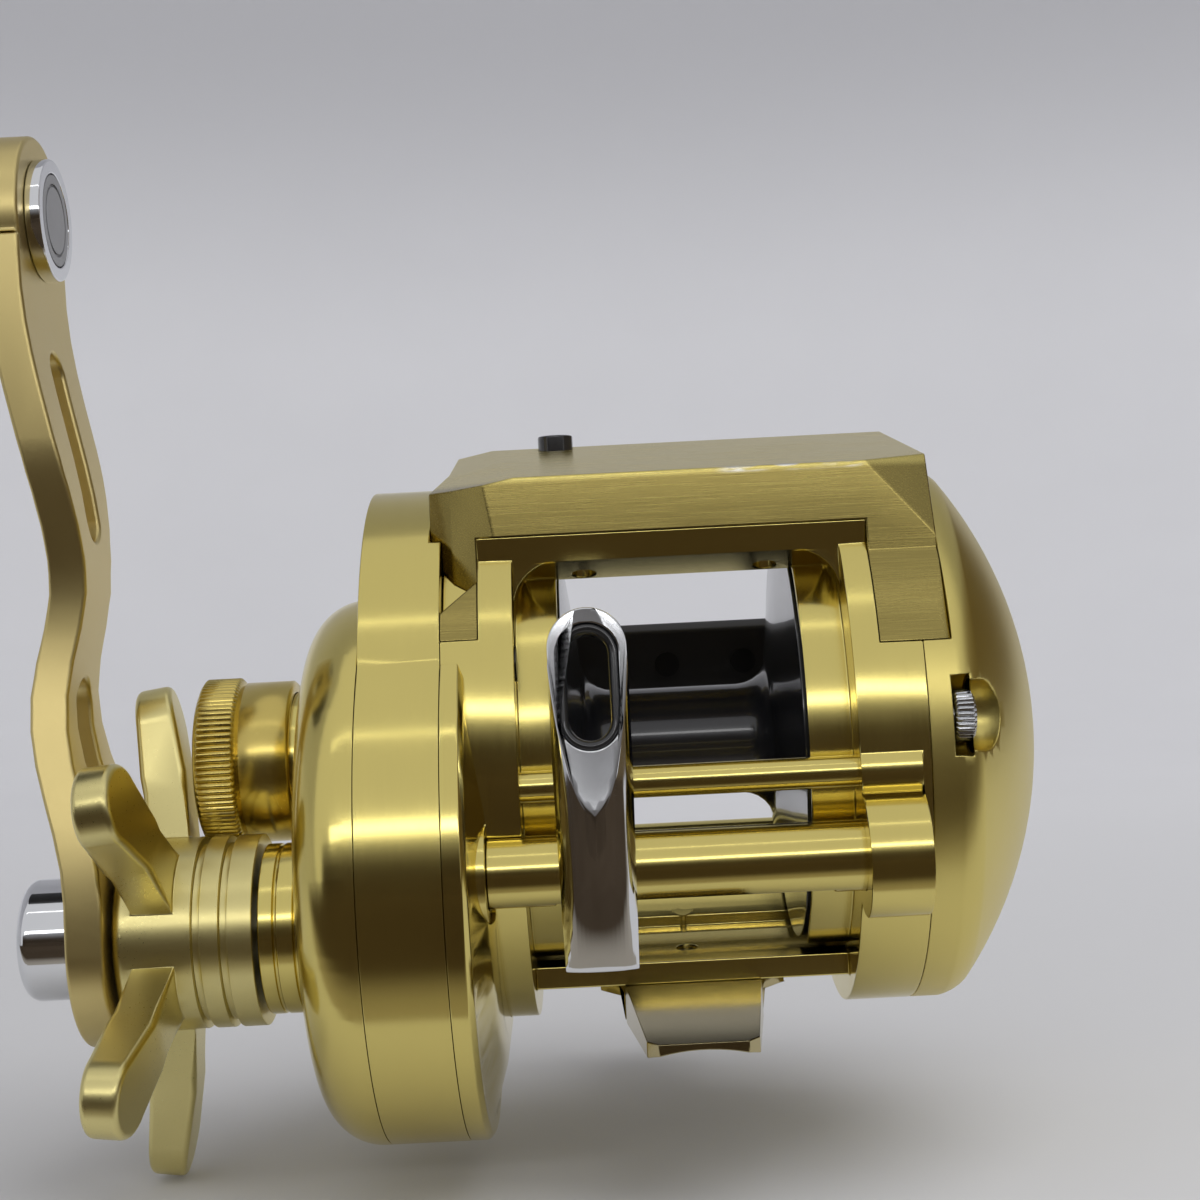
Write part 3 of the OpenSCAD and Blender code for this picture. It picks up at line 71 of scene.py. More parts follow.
# %% [markdown]
# The turning pieces share a few axes, all along X. Their places could be typed in again here,
# but the joints of the CAD model already hold them. So the lathed pieces below read their centres
# from the joints and stay true if the model changes.

# %% Axes and units
MM = 0.001


def axis_of(joint):
    """The (y, z) place of a joint's axis, in millimetres."""
    found = next(j for j in frame["joints"] if j["name"] == joint)
    return found["pos_m"][1] / MM, found["pos_m"][2] / MM


def box_of(node):
    """The lowest and highest corner of a CAD node, in millimetres."""
    low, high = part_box(node)
    return low / MM, high / MM


SPOOL = axis_of("spool_spin")
DRIVE = axis_of("handle_turn")
WORM = axis_of("worm_spin")
SCREW = axis_of("thumbscrew_turn")
print("spool axis", SPOOL, "drive axis", DRIVE)

# %% [markdown]
# ## A small kit for finishes
# A finish is one Principled shader and the few nodes that vary it over the surface.
# Wiring each node by hand is long and hides the idea, so a wire knows how to add, subtract and
# multiply itself, and a formula in Python becomes a row of Math nodes.

# %% Wires
class Wire:
    """An output of a node. Sums and products of wires become Math nodes."""

    def __init__(self, finish, socket):
        self.finish = finish
        self.socket = socket

    def math(self, operation, left, right):
        return self.finish.node("ShaderNodeMath", {"operation": operation}, {0: left, 1: right})

    def __add__(self, other):
        return self.math("ADD", self, other)

    def __sub__(self, other):
        return self.math("SUBTRACT", self, other)

    def __rsub__(self, other):
        return self.math("SUBTRACT", other, self)

    def __mul__(self, other):
        return self.math("MULTIPLY", self, other)

    def __abs__(self):
        return self.math("ABSOLUTE", self, 0)

    __radd__ = __add__
    __rmul__ = __mul__


print("wires ready")

# %% [markdown]
# Every other node comes from one method, which sets the node's options first and its sockets after.
# The few patterns that the reel needs stand on top of it: soft noise, a smooth step, a blend of two colours
# and a relief. All of them read the place on the piece itself, so they stay put when the piece moves.

# %% Finishes
class Finish:
    """A material with a Principled shader, and the slot of the part that it dresses."""

    def __init__(self, name, slot, **constants):
        self.material = bpy.data.materials.new(name)
        self.material.use_nodes = True
        self.tree = self.material.node_tree
        self.slot = slot
        self.shader = self.tree.nodes["Principled BSDF"]
        for socket, value in constants.items():
            self.shader.inputs[socket.replace("_", " ")].default_value = value
        self.place = self.node("ShaderNodeTexCoord", output="Object")

    def node(self, kind, settings=(), inputs=(), output=0):
        """Adds a node: first its settings, then the values or links of its sockets."""
        made = self.tree.nodes.new(kind)
        for name, value in dict(settings).items():
            setattr(made, name, value)
        for socket, value in dict(inputs).items():
            self.set(made.inputs[socket], value)
        return Wire(self, made.outputs[output])

    def set(self, socket, value):
        """Gives a socket a link or a plain value."""
        if isinstance(value, Wire):
            self.tree.links.new(value.socket, socket)
        else:
            socket.default_value = value

    def feed(self, socket, value):
        """Gives a socket of the shader a link or a plain value."""
        self.set(self.shader.inputs[socket], value)

    def grain(self, size, stretch=(1, 1, 1), detail=2):
        """Soft noise from 0 to 1. Size is in millimetres, and stretch lengthens it along X, Y and Z."""
        scale = [1 / (size * MM * s) for s in stretch]
        place = self.node("ShaderNodeVectorMath", {"operation": "MULTIPLY"}, {0: self.place, 1: scale})
        return self.node("ShaderNodeTexNoise", (), {"Vector": place, "Scale": 1, "Detail": detail})

    def coordinate(self, letter):
        """The place on the piece along X, Y or Z, in millimetres."""
        parts = self.node("ShaderNodeSeparateXYZ", (), {0: self.place}, output="XYZ".index(letter))
        return parts * (1 / MM)

    def ramp(self, value, low, high):
        """Rises smoothly from 0 at low to 1 at high."""
        inputs = {"Value": value, "From Min": low, "From Max": high}
        return self.node("ShaderNodeMapRange", {"interpolation_type": "SMOOTHSTEP"}, inputs)

    def blend(self, first, second, share):
        """A colour between two colours, each of them a wire or three numbers."""
        first, second = [c if isinstance(c, Wire) else (*c, 1) for c in (first, second)]
        inputs = {0: share, 6: first, 7: second}
        return self.node("ShaderNodeMix", {"data_type": "RGBA"}, inputs, output=2)

    def relief(self, height, depth):
        """Dents from a height of 0 to 1 that is depth millimetres deep."""
        self.feed("Normal", self.node("ShaderNodeBump", (), {"Height": height, "Distance": depth * MM}))


print("finish kit ready")

# %% [markdown]
# ## Gold anodised aluminium
# The reel's body is aluminium, dyed gold after it was machined. The colour is the same all over,
# and the pieces differ in how the tool left them: fine rings on turned rims, straight lines on the hood,
# an even satin on the domes and a mirror on the small turned parts.
# Each could have a material of its own, but they are one metal, so one function makes them all,
# and only the roughness and the size and direction of the grain change.

# %% Gold
GOLD = (0.80, 0.67, 0.22)
ROUND_X = (0.05, 4, 4)
ALONG_X = (6, 0.08, 0.08)
EVEN = (0.2, 0.2, 0.2)
GRAIN_MM = 1
NOISE_MEAN = 0.5


def gold(name, rough, grain, depth, tone=GOLD, wear_and_shade=None):
    """Gold whose grain has a direction; rough is its mean roughness and depth that of its lines."""
    finish = Finish(name, "gold", Metallic=1.0)
    cloud = finish.grain(size=9)
    lines = finish.grain(GRAIN_MM, grain, detail=3)
    deep = [c * 0.9 for c in tone]
    mottle = cloud * 0.6 + lines * 0.4
    colour = finish.blend(deep, tone, mottle)
    if wear_and_shade:
        colour = wear_and_shade(finish, colour, lines)
    finish.feed("Base Color", colour)
    uneven = (lines - NOISE_MEAN) * 0.12 + (cloud - NOISE_MEAN) * 0.06
    finish.feed("Roughness", uneven + rough)
    finish.relief(lines, depth)
    return finish


turned_gold = gold("turned_gold", 0.17, ROUND_X, 0.0016)
satin_gold = gold("satin_gold", 0.34, EVEN, 0.0015)
polished_gold = gold("polished_gold", 0.13, ROUND_X, 0.0004)
knurled_gold = gold("knurled_gold", 0.24, EVEN, 0.001, (0.72, 0.57, 0.17))
tumbled_gold = gold("tumbled_gold", 0.3, EVEN, 0.001, (0.82, 0.72, 0.32))
arm_gold = gold("arm_gold", 0.36, EVEN, 0.0012, (0.76, 0.62, 0.27))
print("six plain gold finishes")

# %% [markdown]
# Where thumbs and pockets rub, the dye goes first: the hood's upper front edge shows bare metal.
# The hood's front and sides below its top edge get painted shade, which follows the brushed lines, and the top is
# left unshaded.
# The wear and the painted shade could be drawn on a picture and wrapped round the hood. Here they follow from the
# place on the hood, its height and its distance from that one edge, so no picture is needed.

# %% Worn gold of the hood, with painted shade
BARE = (0.8, 0.79, 0.74)
# Colour of the painted shade on the hood's front and sides.
SIDE_SHADE = (0.26, 0.2, 0.06)
HOOD_EDGE_Y = -17.75
HOOD_EDGE_Z = SPOOL[1] + 24.8
RUBBED_FROM = (3.5, 6)
RUBBED_TO = (15.5, 17)


def shade_and_wear_of_hood(finish, colour, lines):
    """Painted shade below the top edge, following the brushed lines, and bare metal worn on the upper front edge.
    """
    x, y, z = [finish.coordinate(letter) for letter in "XYZ"]
    # Painted shade: everything below the hood's top edge is darkened, and the darkening follows the brushed lines.
    sides = 1 - finish.ramp(z, HOOD_EDGE_Z - 0.7, HOOD_EDGE_Z)
    colour = finish.blend(colour, SIDE_SHADE, sides * (1 - lines * 0.45))
    along = finish.ramp(x, *RUBBED_FROM) * (1 - finish.ramp(x, *RUBBED_TO))
    from_edge = abs(y - HOOD_EDGE_Y) + abs(z - HOOD_EDGE_Z)
    near = 1 - finish.ramp(from_edge, 0.25, 0.7)
    specks = finish.ramp(finish.grain(0.7, (5, 1, 1)), 0.42, 0.58)
    return finish.blend(colour, BARE, along * near * specks)


# The hood's brushed gold carries the painted shade and the worn edge.
brushed_gold = gold("brushed_gold", 0.26, ALONG_X, 0.0025, wear_and_shade=shade_and_wear_of_hood)
print("brushed gold, rubbed from", RUBBED_FROM[0], "to", RUBBED_TO[1], "mm")

# %% [markdown]
# ## The other metals
# The guide, the nut and the knob's axle are chromed, the bearings and shafts are steel,
# some gears are brass, and the foot has a dark plating. A single colour would do for a drawing, but a finish
# that is the same in every point looks like plastic. So each metal gets faint clouds and a fine grain.

# %% Metals
def metal(name, slot, tone, rough, grain=EVEN, depth=0.0006):
    """A clean metal with faint clouds and grain."""
    finish = Finish(name, slot, Metallic=1.0)
    cloud = finish.grain(size=5)
    lines = finish.grain(GRAIN_MM, grain)
    deep = [c * 0.88 for c in tone]
    finish.feed("Base Color", finish.blend(deep, tone, cloud))
    finish.feed("Roughness", cloud * 0.05 + lines * 0.04 + rough)
    finish.relief(lines, depth)
    return finish


chrome = metal("bright_chrome", "chrome", (0.84, 0.85, 0.87), 0.02, depth=0.0001)
steel = metal("turned_steel", "steel", (0.6, 0.61, 0.63), 0.2, ROUND_X)
brass = metal("machined_brass", "brass", (0.75, 0.56, 0.26), 0.24)
foot_plate = metal("dark_plating", "plated_foot", (0.52, 0.45, 0.25), 0.12, depth=0.0003)
black_steel = metal("black_steel", "black_screw", (0.05, 0.05, 0.05), 0.3)
print("five metals")

# %% [markdown]
# The spool and the thumb bar are black, the grip is rubbery, and some pieces inside are moulded plastic.
# They mirror the room faintly and without their own colour, unlike bare metal, so the shader's Metallic
# stays at 0, and the glossy ones get a clear coat on top, a little thinner where the clouds are.

# %% Plastics and coatings
def coating(name, slot, tone, rough, coat=0.0, depth=0.001):
    """A coloured surface that isn't bare metal."""
    finish = Finish(name, slot, Coat_Roughness=0.06)
    cloud = finish.grain(size=4)
    fine = finish.grain(GRAIN_MM, EVEN)
    pale = [c * 1.25 + 0.004 for c in tone]
    finish.feed("Base Color", finish.blend(tone, pale, cloud))
    finish.feed("Roughness", fine * 0.08 + cloud * 0.06 + rough)
    finish.feed("Coat Weight", coat - cloud * 0.1 * coat)
    finish.relief(fine, depth)
    return finish


gloss_black = coating("gloss_black", "black_metal", (0.012, 0.012, 0.014), 0.16, 0.8, depth=0.0002)
satin_black = coating("satin_black", "black_metal", (0.02, 0.018, 0.017), 0.34, 0.1)
white_plastic = coating("white_plastic", "white_plastic", (0.8, 0.77, 0.7), 0.4)
brown_plastic = coating("brown_plastic", "brown_plastic", (0.3, 0.18, 0.09), 0.45)
drag_fibre = coating("drag_fibre", "drag_fibre", (0.09, 0.085, 0.08), 0.6, depth=0.01)
rubber = coating("rubber", "rubber", (0.025, 0.025, 0.025), 0.65)
eye_black = coating("eye_black", "ceramic", (0.012, 0.012, 0.013), 0.12, 0.6, depth=0.0002)
knob_black = coating("knob_black", "knob_black", (0.02, 0.02, 0.022), 0.5, depth=0.006)
grey_disc = coating("grey_disc", "grey_disc", (0.2, 0.2, 0.21), 0.38, 0.2)
print("nine coatings")

# %% [markdown]
# ## Breaking the edges
# No machined part has a perfectly sharp edge: a small round catches the light and tells the eye that
# the piece is solid. The CAD solids have sharp edges and many thin triangles. A bevel needs whole faces,
# so each visible solid is copied and its flat faces are joined before its edges are rounded.

# %% Copies of CAD solids
SAME_POINT = 0.002
ON_SEAM = 0.001
FLAT_DEGREES = 0.4


def cut_across(bm, place, normal):
    """Adds a row of points where a plane crosses the mesh."""
    everything = bm.verts[:] + bm.edges[:] + bm.faces[:]
    bmesh.ops.bisect_plane(bm, geom=everything, plane_co=place, plane_no=normal)


def copy_of(node, seams=()):
    """A bmesh of a CAD node in millimetres, with its flat faces made whole on each side of the seams.

    A seam is a place and a normal. It runs through a hole, because one face can't have a hole in it.
    """
    bm = bmesh.new()
    bm.from_mesh(nodes[node].data)
    bmesh.ops.scale(bm, vec=(1 / MM,) * 3, verts=bm.verts)
    bmesh.ops.remove_doubles(bm, verts=bm.verts, dist=SAME_POINT)
    kept = set()
    for place, normal in seams:
        cut_across(bm, place, normal)
    for place, normal in seams:
        kept |= {v for v in bm.verts if abs((v.co - Vector(place)).dot(Vector(normal))) < ON_SEAM}
    verts = [v for v in bm.verts if v not in kept]
    edges = [e for e in bm.edges if not kept.issuperset(e.verts)]
    bmesh.ops.dissolve_limit(bm, angle_limit=math.radians(FLAT_DEGREES), verts=verts, edges=edges)
    return bm


print("copies ready")

# %% [markdown]
# A file takes a strip of the same width off each sharp edge, and so does a bevel. The facets of a round
# surface meet at small angles, so an angle tells them from real edges. A Bevel modifier would round
# all of these alike, and the star wheel needs its edges picked by their place.

# %% Broken edges
def is_sharp(edge, degrees):
    """True for an edge between two faces that meet at more than an angle."""
    return len(edge.link_faces) == 2 and edge.calc_face_angle() > math.radians(degrees)


def break_edges(bm, width, degrees=28, steps=2, where=None):
    """Rounds each sharp edge by a width in millimetres; where picks the edges by their middle."""
    sharp = [edge for edge in bm.edges if is_sharp(edge, degrees)]
    if where:
        sharp = [edge for edge in sharp if where((edge.verts[0].co + edge.verts[1].co) / 2)]
    bmesh.ops.bevel(bm, geom=sharp, offset=width, offset_type="OFFSET", segments=steps,
                    profile=0.5, affect="EDGES", clamp_overlap=False)
    bmesh.ops.remove_doubles(bm, verts=bm.verts, dist=SAME_POINT)


print("edge tool ready")

# %% [markdown]
# A finished piece is a mesh in metres that rides on the same body as the CAD solid it stands for,
# so it moves with the joints. Its faces are shaded smooth, apart from edges sharper than the crease.
# Smooth shading alone would make wide flat faces look bent beside a narrow bevel,
# so the normals are weighted by area.

# %% Finished pieces
def object_from(name, bm, finish=None):
    """Turns a bmesh into an object of the scene, and frees the bmesh."""
    mesh = bpy.data.meshes.new(name)
    bm.to_mesh(mesh)
    bm.free()
    if finish:
        mesh.materials.append(finish.material)
    obj = bpy.data.objects.new(name, mesh)
    bpy.context.scene.collection.objects.link(obj)
    return obj


def make(name, bm, node, finish, crease=40):
    """Turns a bmesh in millimetres into a finished piece that stands for a CAD node."""
    bmesh.ops.recalc_face_normals(bm, faces=bm.faces)
    for face in bm.faces:
        face.smooth = True
    for edge in bm.edges:
        edge.smooth = not is_sharp(edge, crease)
    piece = object_from(name, bm, finish)
    piece.data.transform(Matrix.Scale(MM, 4))
    even = piece.modifiers.new("even_normals", "WEIGHTED_NORMAL")
    even.keep_sharp = True
    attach(piece, body_of[node])
    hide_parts(node)


def dress(node, name, finish, width, steps=2):
    """A copy of a CAD node with its edges broken by a width in millimetres."""
    bm = copy_of(node)
    break_edges(bm, width, steps=steps)
    make(name, bm, node, finish)


print("piece tools ready")

# %% [markdown]
# ## Turning and carving
# Two more tools. Knurled grips are turned from a profile whose radius dips between the teeth.
# A bump in the material could draw them, but the teeth are real shape, which the outline shows.

# %% Turning
def turned(profile, axis, teeth=16, bite=0.0, steps=6):
    """A bmesh turned about an X axis from (x, radius, knurl) points; a knurl of 1 dips by the bite."""
    sides = teeth * steps
    bm = bmesh.new()
    rings = []
    for x, radius, knurl in profile:
        ring = []
        for k in range(sides):
            angle = 2 * math.pi * k / sides
            dip = abs(math.sin(teeth * angle / 2))
            r = radius - knurl * bite * (1 - dip)
            place = (x, axis[0] + r * math.cos(angle), axis[1] + r * math.sin(angle))
            ring.append(bm.verts.new(place))
        rings.append(ring)
    for near, far in zip(rings, rings[1:]):
        for k in range(sides):
            bm.faces.new((near[k - 1], far[k - 1], far[k], near[k]))
    bmesh.ops.remove_doubles(bm, verts=bm.verts, dist=0.0005)
    return bm


print("turning ready")

# %% [markdown]
# The line guide has a dished face and the foot has thin wings. Their points could be moved by hand,
# but a mill would take the shape of its cutter out of the stock, and a boolean does just that.

# %% Carving
def carve(bm, cutter):
    """Takes one closed bmesh out of another and gives back what is left."""
    body = object_from("carve_body", bm)
    tool = object_from("carve_tool", cutter)
    mill = body.modifiers.new("mill", "BOOLEAN")
    mill.operation = "DIFFERENCE"
    mill.object = tool
    seen = body.evaluated_get(bpy.context.evaluated_depsgraph_get())
    left = bmesh.new()
    left.from_mesh(seen.to_mesh())
    seen.to_mesh_clear()
    for obj in (body, tool):
        mesh = obj.data
        bpy.data.objects.remove(obj)
        bpy.data.meshes.remove(mesh)
    return left


print("carving ready")

# %% [markdown]
# ## Frame and hood
# The frame is one milled block of aluminium: two rings, a crossbar, a floor and thin lips round the spool.
# On a real reel it comes off a mill and its outside is finished on a lathe, so it gets the turned gold,
# with rings of lines round the spool's axis. It could be modelled again from rings and bars,
# but the CAD solid has its shape already, so only the edges are broken, as a fine file would.
# The hole of the rear foot screw just runs out into the spool's bore.
# A plug follows the bore and closes it.

# %% Frame
FILED = 0.16
SPOOL_BORE_R = 20.22
plug_r = 1.03
plug_y = 10
plug_low = 3.3
plug_tall = 1
plug_middle = plug_low + plug_tall / 2
milled = copy_of("frame")
break_edges(milled, FILED)
plug = bmesh.ops.create_cone(
    milled, cap_ends=True, segments=24, radius1=plug_r, radius2=plug_r, depth=plug_tall,
    matrix=Matrix.Translation((0, plug_y, plug_middle)),
)
for vert in plug["verts"]:
    if vert.co.z > plug_middle:
        vert.co.z = SPOOL[1] - math.sqrt(SPOOL_BORE_R ** 2 - (vert.co.y - SPOOL[0]) ** 2)
make("milled_frame", milled, "frame", turned_gold)
print("frame with a plug", round(2 * plug_r, 2), "mm wide")

# %% [markdown]
# The hood is the rest for the thumb, let into the frame and held by screws from below.
# Its front is brushed. Where it meets the frame, the broken edges of both make the thin dark seam
# of the photo, which a line drawn in the material could only imitate.
# The post on its top is small, black and glossy.

# %% Hood
dress("top_hood", "brushed_hood", brushed_gold, FILED)
dress("hood_post", "black_hood_post", gloss_black, 0.2)
print("hood dressed")

# %% [markdown]
# ## Gear side
# The gear case is a ring with two round outlines, the body's and the lobe's, which meet in a crease.
# A cover with a rounded rim closes its outside and a dished plate closes its inside.
# The ring and the cover are turned, so they share the turned gold. The plate is polished,
# because the photo shows the front rods mirrored in it.

# %% Gear case
LATHED = 0.14
dress("gear_case", "gear_case_ring", turned_gold, LATHED)
dress("gear_cover", "gear_case_cover", turned_gold, LATHED)
dress("inner_case_plate", "dished_plate", polished_gold, LATHED)
print("gear side dressed")

# %% [markdown]
# ## Palm side
# The palm cover is a dome with a satin finish, blasted before it was dyed. A scoop in its front edge
# holds the screw that keeps it on. That screw is turned by a fingertip, so its head is knurled.
# The CAD screw is plain, and teeth can't be beveled into it, so the screw is turned again from its profile,
# with its size and place taken from the CAD screw.

# %% Palm cover and its screw
dress("palm_cover", "palm_dome", satin_gold, LATHED)
low, high = box_of("cover_thumbscrew")
head_r = (high.y - low.y) / 2
head_w = 1.8
head_x = high.x - head_w
shank_r = 0.95
head_line = [
    (low.x, 0, 0), (low.x, shank_r - 0.2, 0), (low.x + 0.3, shank_r, 0), (head_x, shank_r, 0),
    (head_x, head_r - 0.3, 0), (head_x + 0.25, head_r, 1), (high.x - 0.3, head_r, 1),
    (high.x - 0.05, head_r - 0.4, 0), (high.x, head_r - 0.6, 0), (high.x - 0.35, head_r * 0.45, 0),
    (high.x - 0.4, 0, 0),
]
screw = turned(head_line, SCREW, teeth=28, bite=0.2)
make("knurled_cover_screw", screw, "cover_thumbscrew", steel, crease=50)
print("palm side dressed, screw head", round(2 * head_r, 2), "mm wide")

# %% [markdown]
# ## Spool, thumb bar and rods
# The spool is anodised black and glossy, turned from one bar. Behind it lies the bar that the thumb
# presses. The thick rod across the front is the worm's tube and the thin one keeps the guide upright.
# All of them are plain turned or milled stock, so the CAD shapes only need their edges broken.

# %% Spool and rods
ROD_EDGE = 0.1
dress("spool", "black_spool", gloss_black, 0.12)
dress("thumb_bar", "thumb_rest_bar", satin_black, 0.3)
dress("worm_tube", "front_tube", turned_gold, ROD_EDGE)
dress("guide_bar", "front_bar", turned_gold, ROD_EDGE)
print("spool and rods dressed")

# %% [markdown]
# ## Line guide
# The guide is a chrome casting with a round nose, which rides on the worm's tube. Its upper face leans back
# and is dished towards the eye, so that line slides in without a sharp edge.
# The dish is a long ellipsoid taken out of the CAD shape, square to the leaning face:
# a ball would make it round, and the photo shows a tall one.

# %% Dish of the guide
low, high = box_of("line_guide")
FACE_LEAN = math.radians(9.5)
FACE_DROP = 3.6
BAR_R = 1.35
face_foot = Vector(((low.x + high.x) / 2, low.y, SPOOL[1] - FACE_DROP))
on_face = Matrix.Translation(face_foot) @ Matrix.Rotation(-FACE_LEAN, 4, "X")
dish_up = 9
dish_deep = 0.25
dish_reach = (6.6, 3.8, 24)
dish = bmesh.new()
bmesh.ops.create_uvsphere(dish, u_segments=96, v_segments=96, radius=1)
bmesh.ops.scale(dish, vec=dish_reach, verts=dish.verts)
bmesh.ops.translate(dish, vec=(0, dish_deep - dish_reach[1], dish_up), verts=dish.verts)
bmesh.ops.transform(dish, matrix=on_face, verts=dish.verts)
bar_z = box_of("guide_bar")[0].z + BAR_R
seams = [(face_foot, (1, 0, 0)), ((0, 0, WORM[1]), (0, 0, 1)), ((0, 0, bar_z), (0, 0, 1))]
guide = carve(copy_of("line_guide", seams), dish)
break_edges(guide, 0.14, degrees=35)
print("guide dished", dish_deep, "mm deep")

# %% [markdown]
# Below the face the nose sweeps back towards the foot, which the photo shows as a bright patch under
# a dark one. A second cutter would leave an edge where it starts. So rows of points are cut across the nose
# and drawn back, more the lower they lie, and the curve runs out of the face without a step.

# %% Sweep of the guide's nose
SWEEP_TOP = 14.5
SWEEP = 0.03
SWEEP_ROWS = 16
ROW_MM = 0.5
nose_y = WORM[0] - 2.8
for row in range(SWEEP_ROWS):
    cut_across(guide, (0, 0, low.z + ROW_MM * row), (0, 0, 1))
for vert in guide.verts:
    if vert.co.y < nose_y and vert.co.z < SWEEP_TOP:
        share = (nose_y - vert.co.y) / (nose_y - low.y)
        vert.co.y += SWEEP * (SWEEP_TOP - vert.co.z) ** 2 * share
make("chrome_guide", guide, "line_guide", chrome, crease=15)
print("nose swept below", SWEEP_TOP, "mm")

# %% [markdown]
# The eye is lined with a black ring, moulded with a round lip so that it doesn't wear the line.
# Its section is swept round an upright oval, because a bevel on the CAD ring would be too small
# for the lip. A section is a row of points of a radius and a depth behind the face.

# %% Eye lining
low, high = box_of("eye_ring")
outer = (high.x - low.x) / 2
inner = outer - 0.85
eye_half = 2.7
eye_up = 10.6
ring_deep = 1.85
half_steps = 32
section = [
    (outer, ring_deep), (outer, 0.4), (outer - 0.1, 0.2), (outer - 0.3, 0.12), (outer - 0.5, 0.16),
    (outer - 0.68, 0.32), (inner + 0.04, 0.6), (inner, 0.95), (inner, ring_deep),
]
lining = bmesh.new()
loops = []
for half_turn, centre in ((0, eye_half), (math.pi, -eye_half)):
    for k in range(half_steps + 1):
        angle = half_turn + math.pi * k / half_steps
        loops.append([
            lining.verts.new((r * math.cos(angle), deep, eye_up + centre + r * math.sin(angle)))
            for r, deep in section
        ])
for k in range(len(loops)):
    for j in range(len(section)):
        near, far = loops[k - 1], loops[k]
        lining.faces.new((near[j - 1], near[j], far[j], far[j - 1]))
bmesh.ops.transform(lining, matrix=on_face, verts=lining.verts)
make("eye_lining", lining, "eye_ring", eye_black, crease=50)
print("eye lining", len(loops), "sections")

# %% [markdown]
# ## Star wheel
# Five arms stand out from a grooved hub. They are polished by hand on a wheel, which leaves them
# as round as pillows, so their long edges get a large round first. The hub's grooves are cut on a lathe
# and stay crisp, so only a small round follows there. One width for both would blur the grooves.

# %% Star wheel
HUB_R = 9.6
PILLOW = 0.6
CRISP = 0.12


def on_arm(place):
    """True for a place outside the star's hub."""
    return math.hypot(place.y - DRIVE[0], place.z - DRIVE[1]) > HUB_R


star = copy_of("star_drag")
break_edges(star, PILLOW, steps=4, where=on_arm)
break_edges(star, CRISP, degrees=50, where=lambda place: not on_arm(place))
make("star_wheel", star, "star_drag", tumbled_gold)
print("star with pillow arms")

# %% [markdown]
# ## Brake knob
# The knob on the spool's axis sets how hard its end presses on the spool shaft. It has a smooth body
# and a knurled rim, with teeth along the axis for the finger and thumb, so it is turned with teeth
# as the cover's screw is. It is hollow, with a bore for the neck of the cover,
# so its profile runs from the middle of the outer end round to the bottom of the bore.

# %% Brake knob
low, high = box_of("cast_knob")
rim_r = (high.y - low.y) / 2
body_r = rim_r - 0.5
neck_r = 6.5
seat_r = 4.4
rim_w = 4.1
neck_end = high.x - 4.9
seat_end = high.x - 6.3
rim_x = low.x + rim_w
knob_line = [
    (low.x + 0.25, 0, 0), (low.x + 0.25, rim_r * 0.62, 0), (low.x, rim_r * 0.66, 0),
    (low.x, rim_r - 1.1, 0), (low.x + 0.3, rim_r - 0.4, 0), (low.x + 0.6, rim_r, 1),
    (rim_x - 0.5, rim_r, 1), (rim_x - 0.2, rim_r - 0.35, 0), (rim_x, body_r - 0.25, 0),
    (rim_x + 0.3, body_r, 0), (high.x - 0.25, body_r, 0), (high.x, body_r - 0.25, 0),
    (high.x, neck_r, 0), (neck_end, neck_r, 0), (neck_end, seat_r, 0), (seat_end, seat_r, 0),
    (seat_end, 0, 0),
]
brake = turned(knob_line, SPOOL, teeth=84, bite=0.24)
make("knurled_brake_knob", brake, "cast_knob", knurled_gold, crease=50)
print("brake knob", round(2 * rim_r, 2), "mm wide")

# %% [markdown]
# ## Handle
# The arm is stamped, cranked and dyed a paler gold, with its edges tumbled round. The nut and the knob's
# axle are chromed. Their shapes are right in the CAD model, so wide bevels of three steps are enough.

# %% Handle
dress("handle_arm", "crank_arm", arm_gold, 0.4, steps=3)
dress("handle_nut", "chrome_nut", chrome, 0.3, steps=3)
dress("knob_post", "chrome_flange", chrome, 0.2)
print("handle dressed")

# %% [markdown]
# The grip is moulded rubber, a barrel that fits between thumb and finger. The CAD model draws it with a few
# straight steps, which no bevel can hide. So it is turned here from a smooth curve through the same widths:
# the radius falls off from the belly towards each end by a power of the distance.

# %% Grip
low, high = box_of("handle_knob")
grip_r = (high.z - low.z) / 2
grip_len = high.x - low.x
hole_r = 3.6
cap_r = 5
cap_deep = 2.5
belly = 0.52
GRIP_STEPS = 40
TO_ARM = (1.46, 2.06)
TO_END = (3.54, 2.97)
grip_line = [(high.x, hole_r, 0), (high.x, grip_r * 0.58, 0)]
for step in range(GRIP_STEPS + 1):
    share = 0.01 + 0.98 * step / GRIP_STEPS
    off = share - belly
    scale, power = TO_END if off > 0 else TO_ARM
    grip_line.append((high.x - share * grip_len, grip_r * (1 - scale * abs(off) ** power), 0))
grip_line += [
    (low.x, grip_r * 0.56, 0), (low.x, cap_r, 0), (low.x + cap_deep, cap_r, 0),
    (low.x + cap_deep, hole_r, 0), (high.x, hole_r, 0),
]
make("grip", turned(grip_line, axis_of("knob_spin")), "handle_knob", knob_black)
print("grip", round(2 * grip_r, 1), "mm wide")

# %% [markdown]
# ## Foot
# The foot is a casting with a dark plating. Its two side wings are thin plates under the frame's floor,
# and the CAD model draws them as full blocks. Moving their lower points up could fold the faces
# beside them, so a cutter mills away what lies below, along a slope that thins the wings outwards.

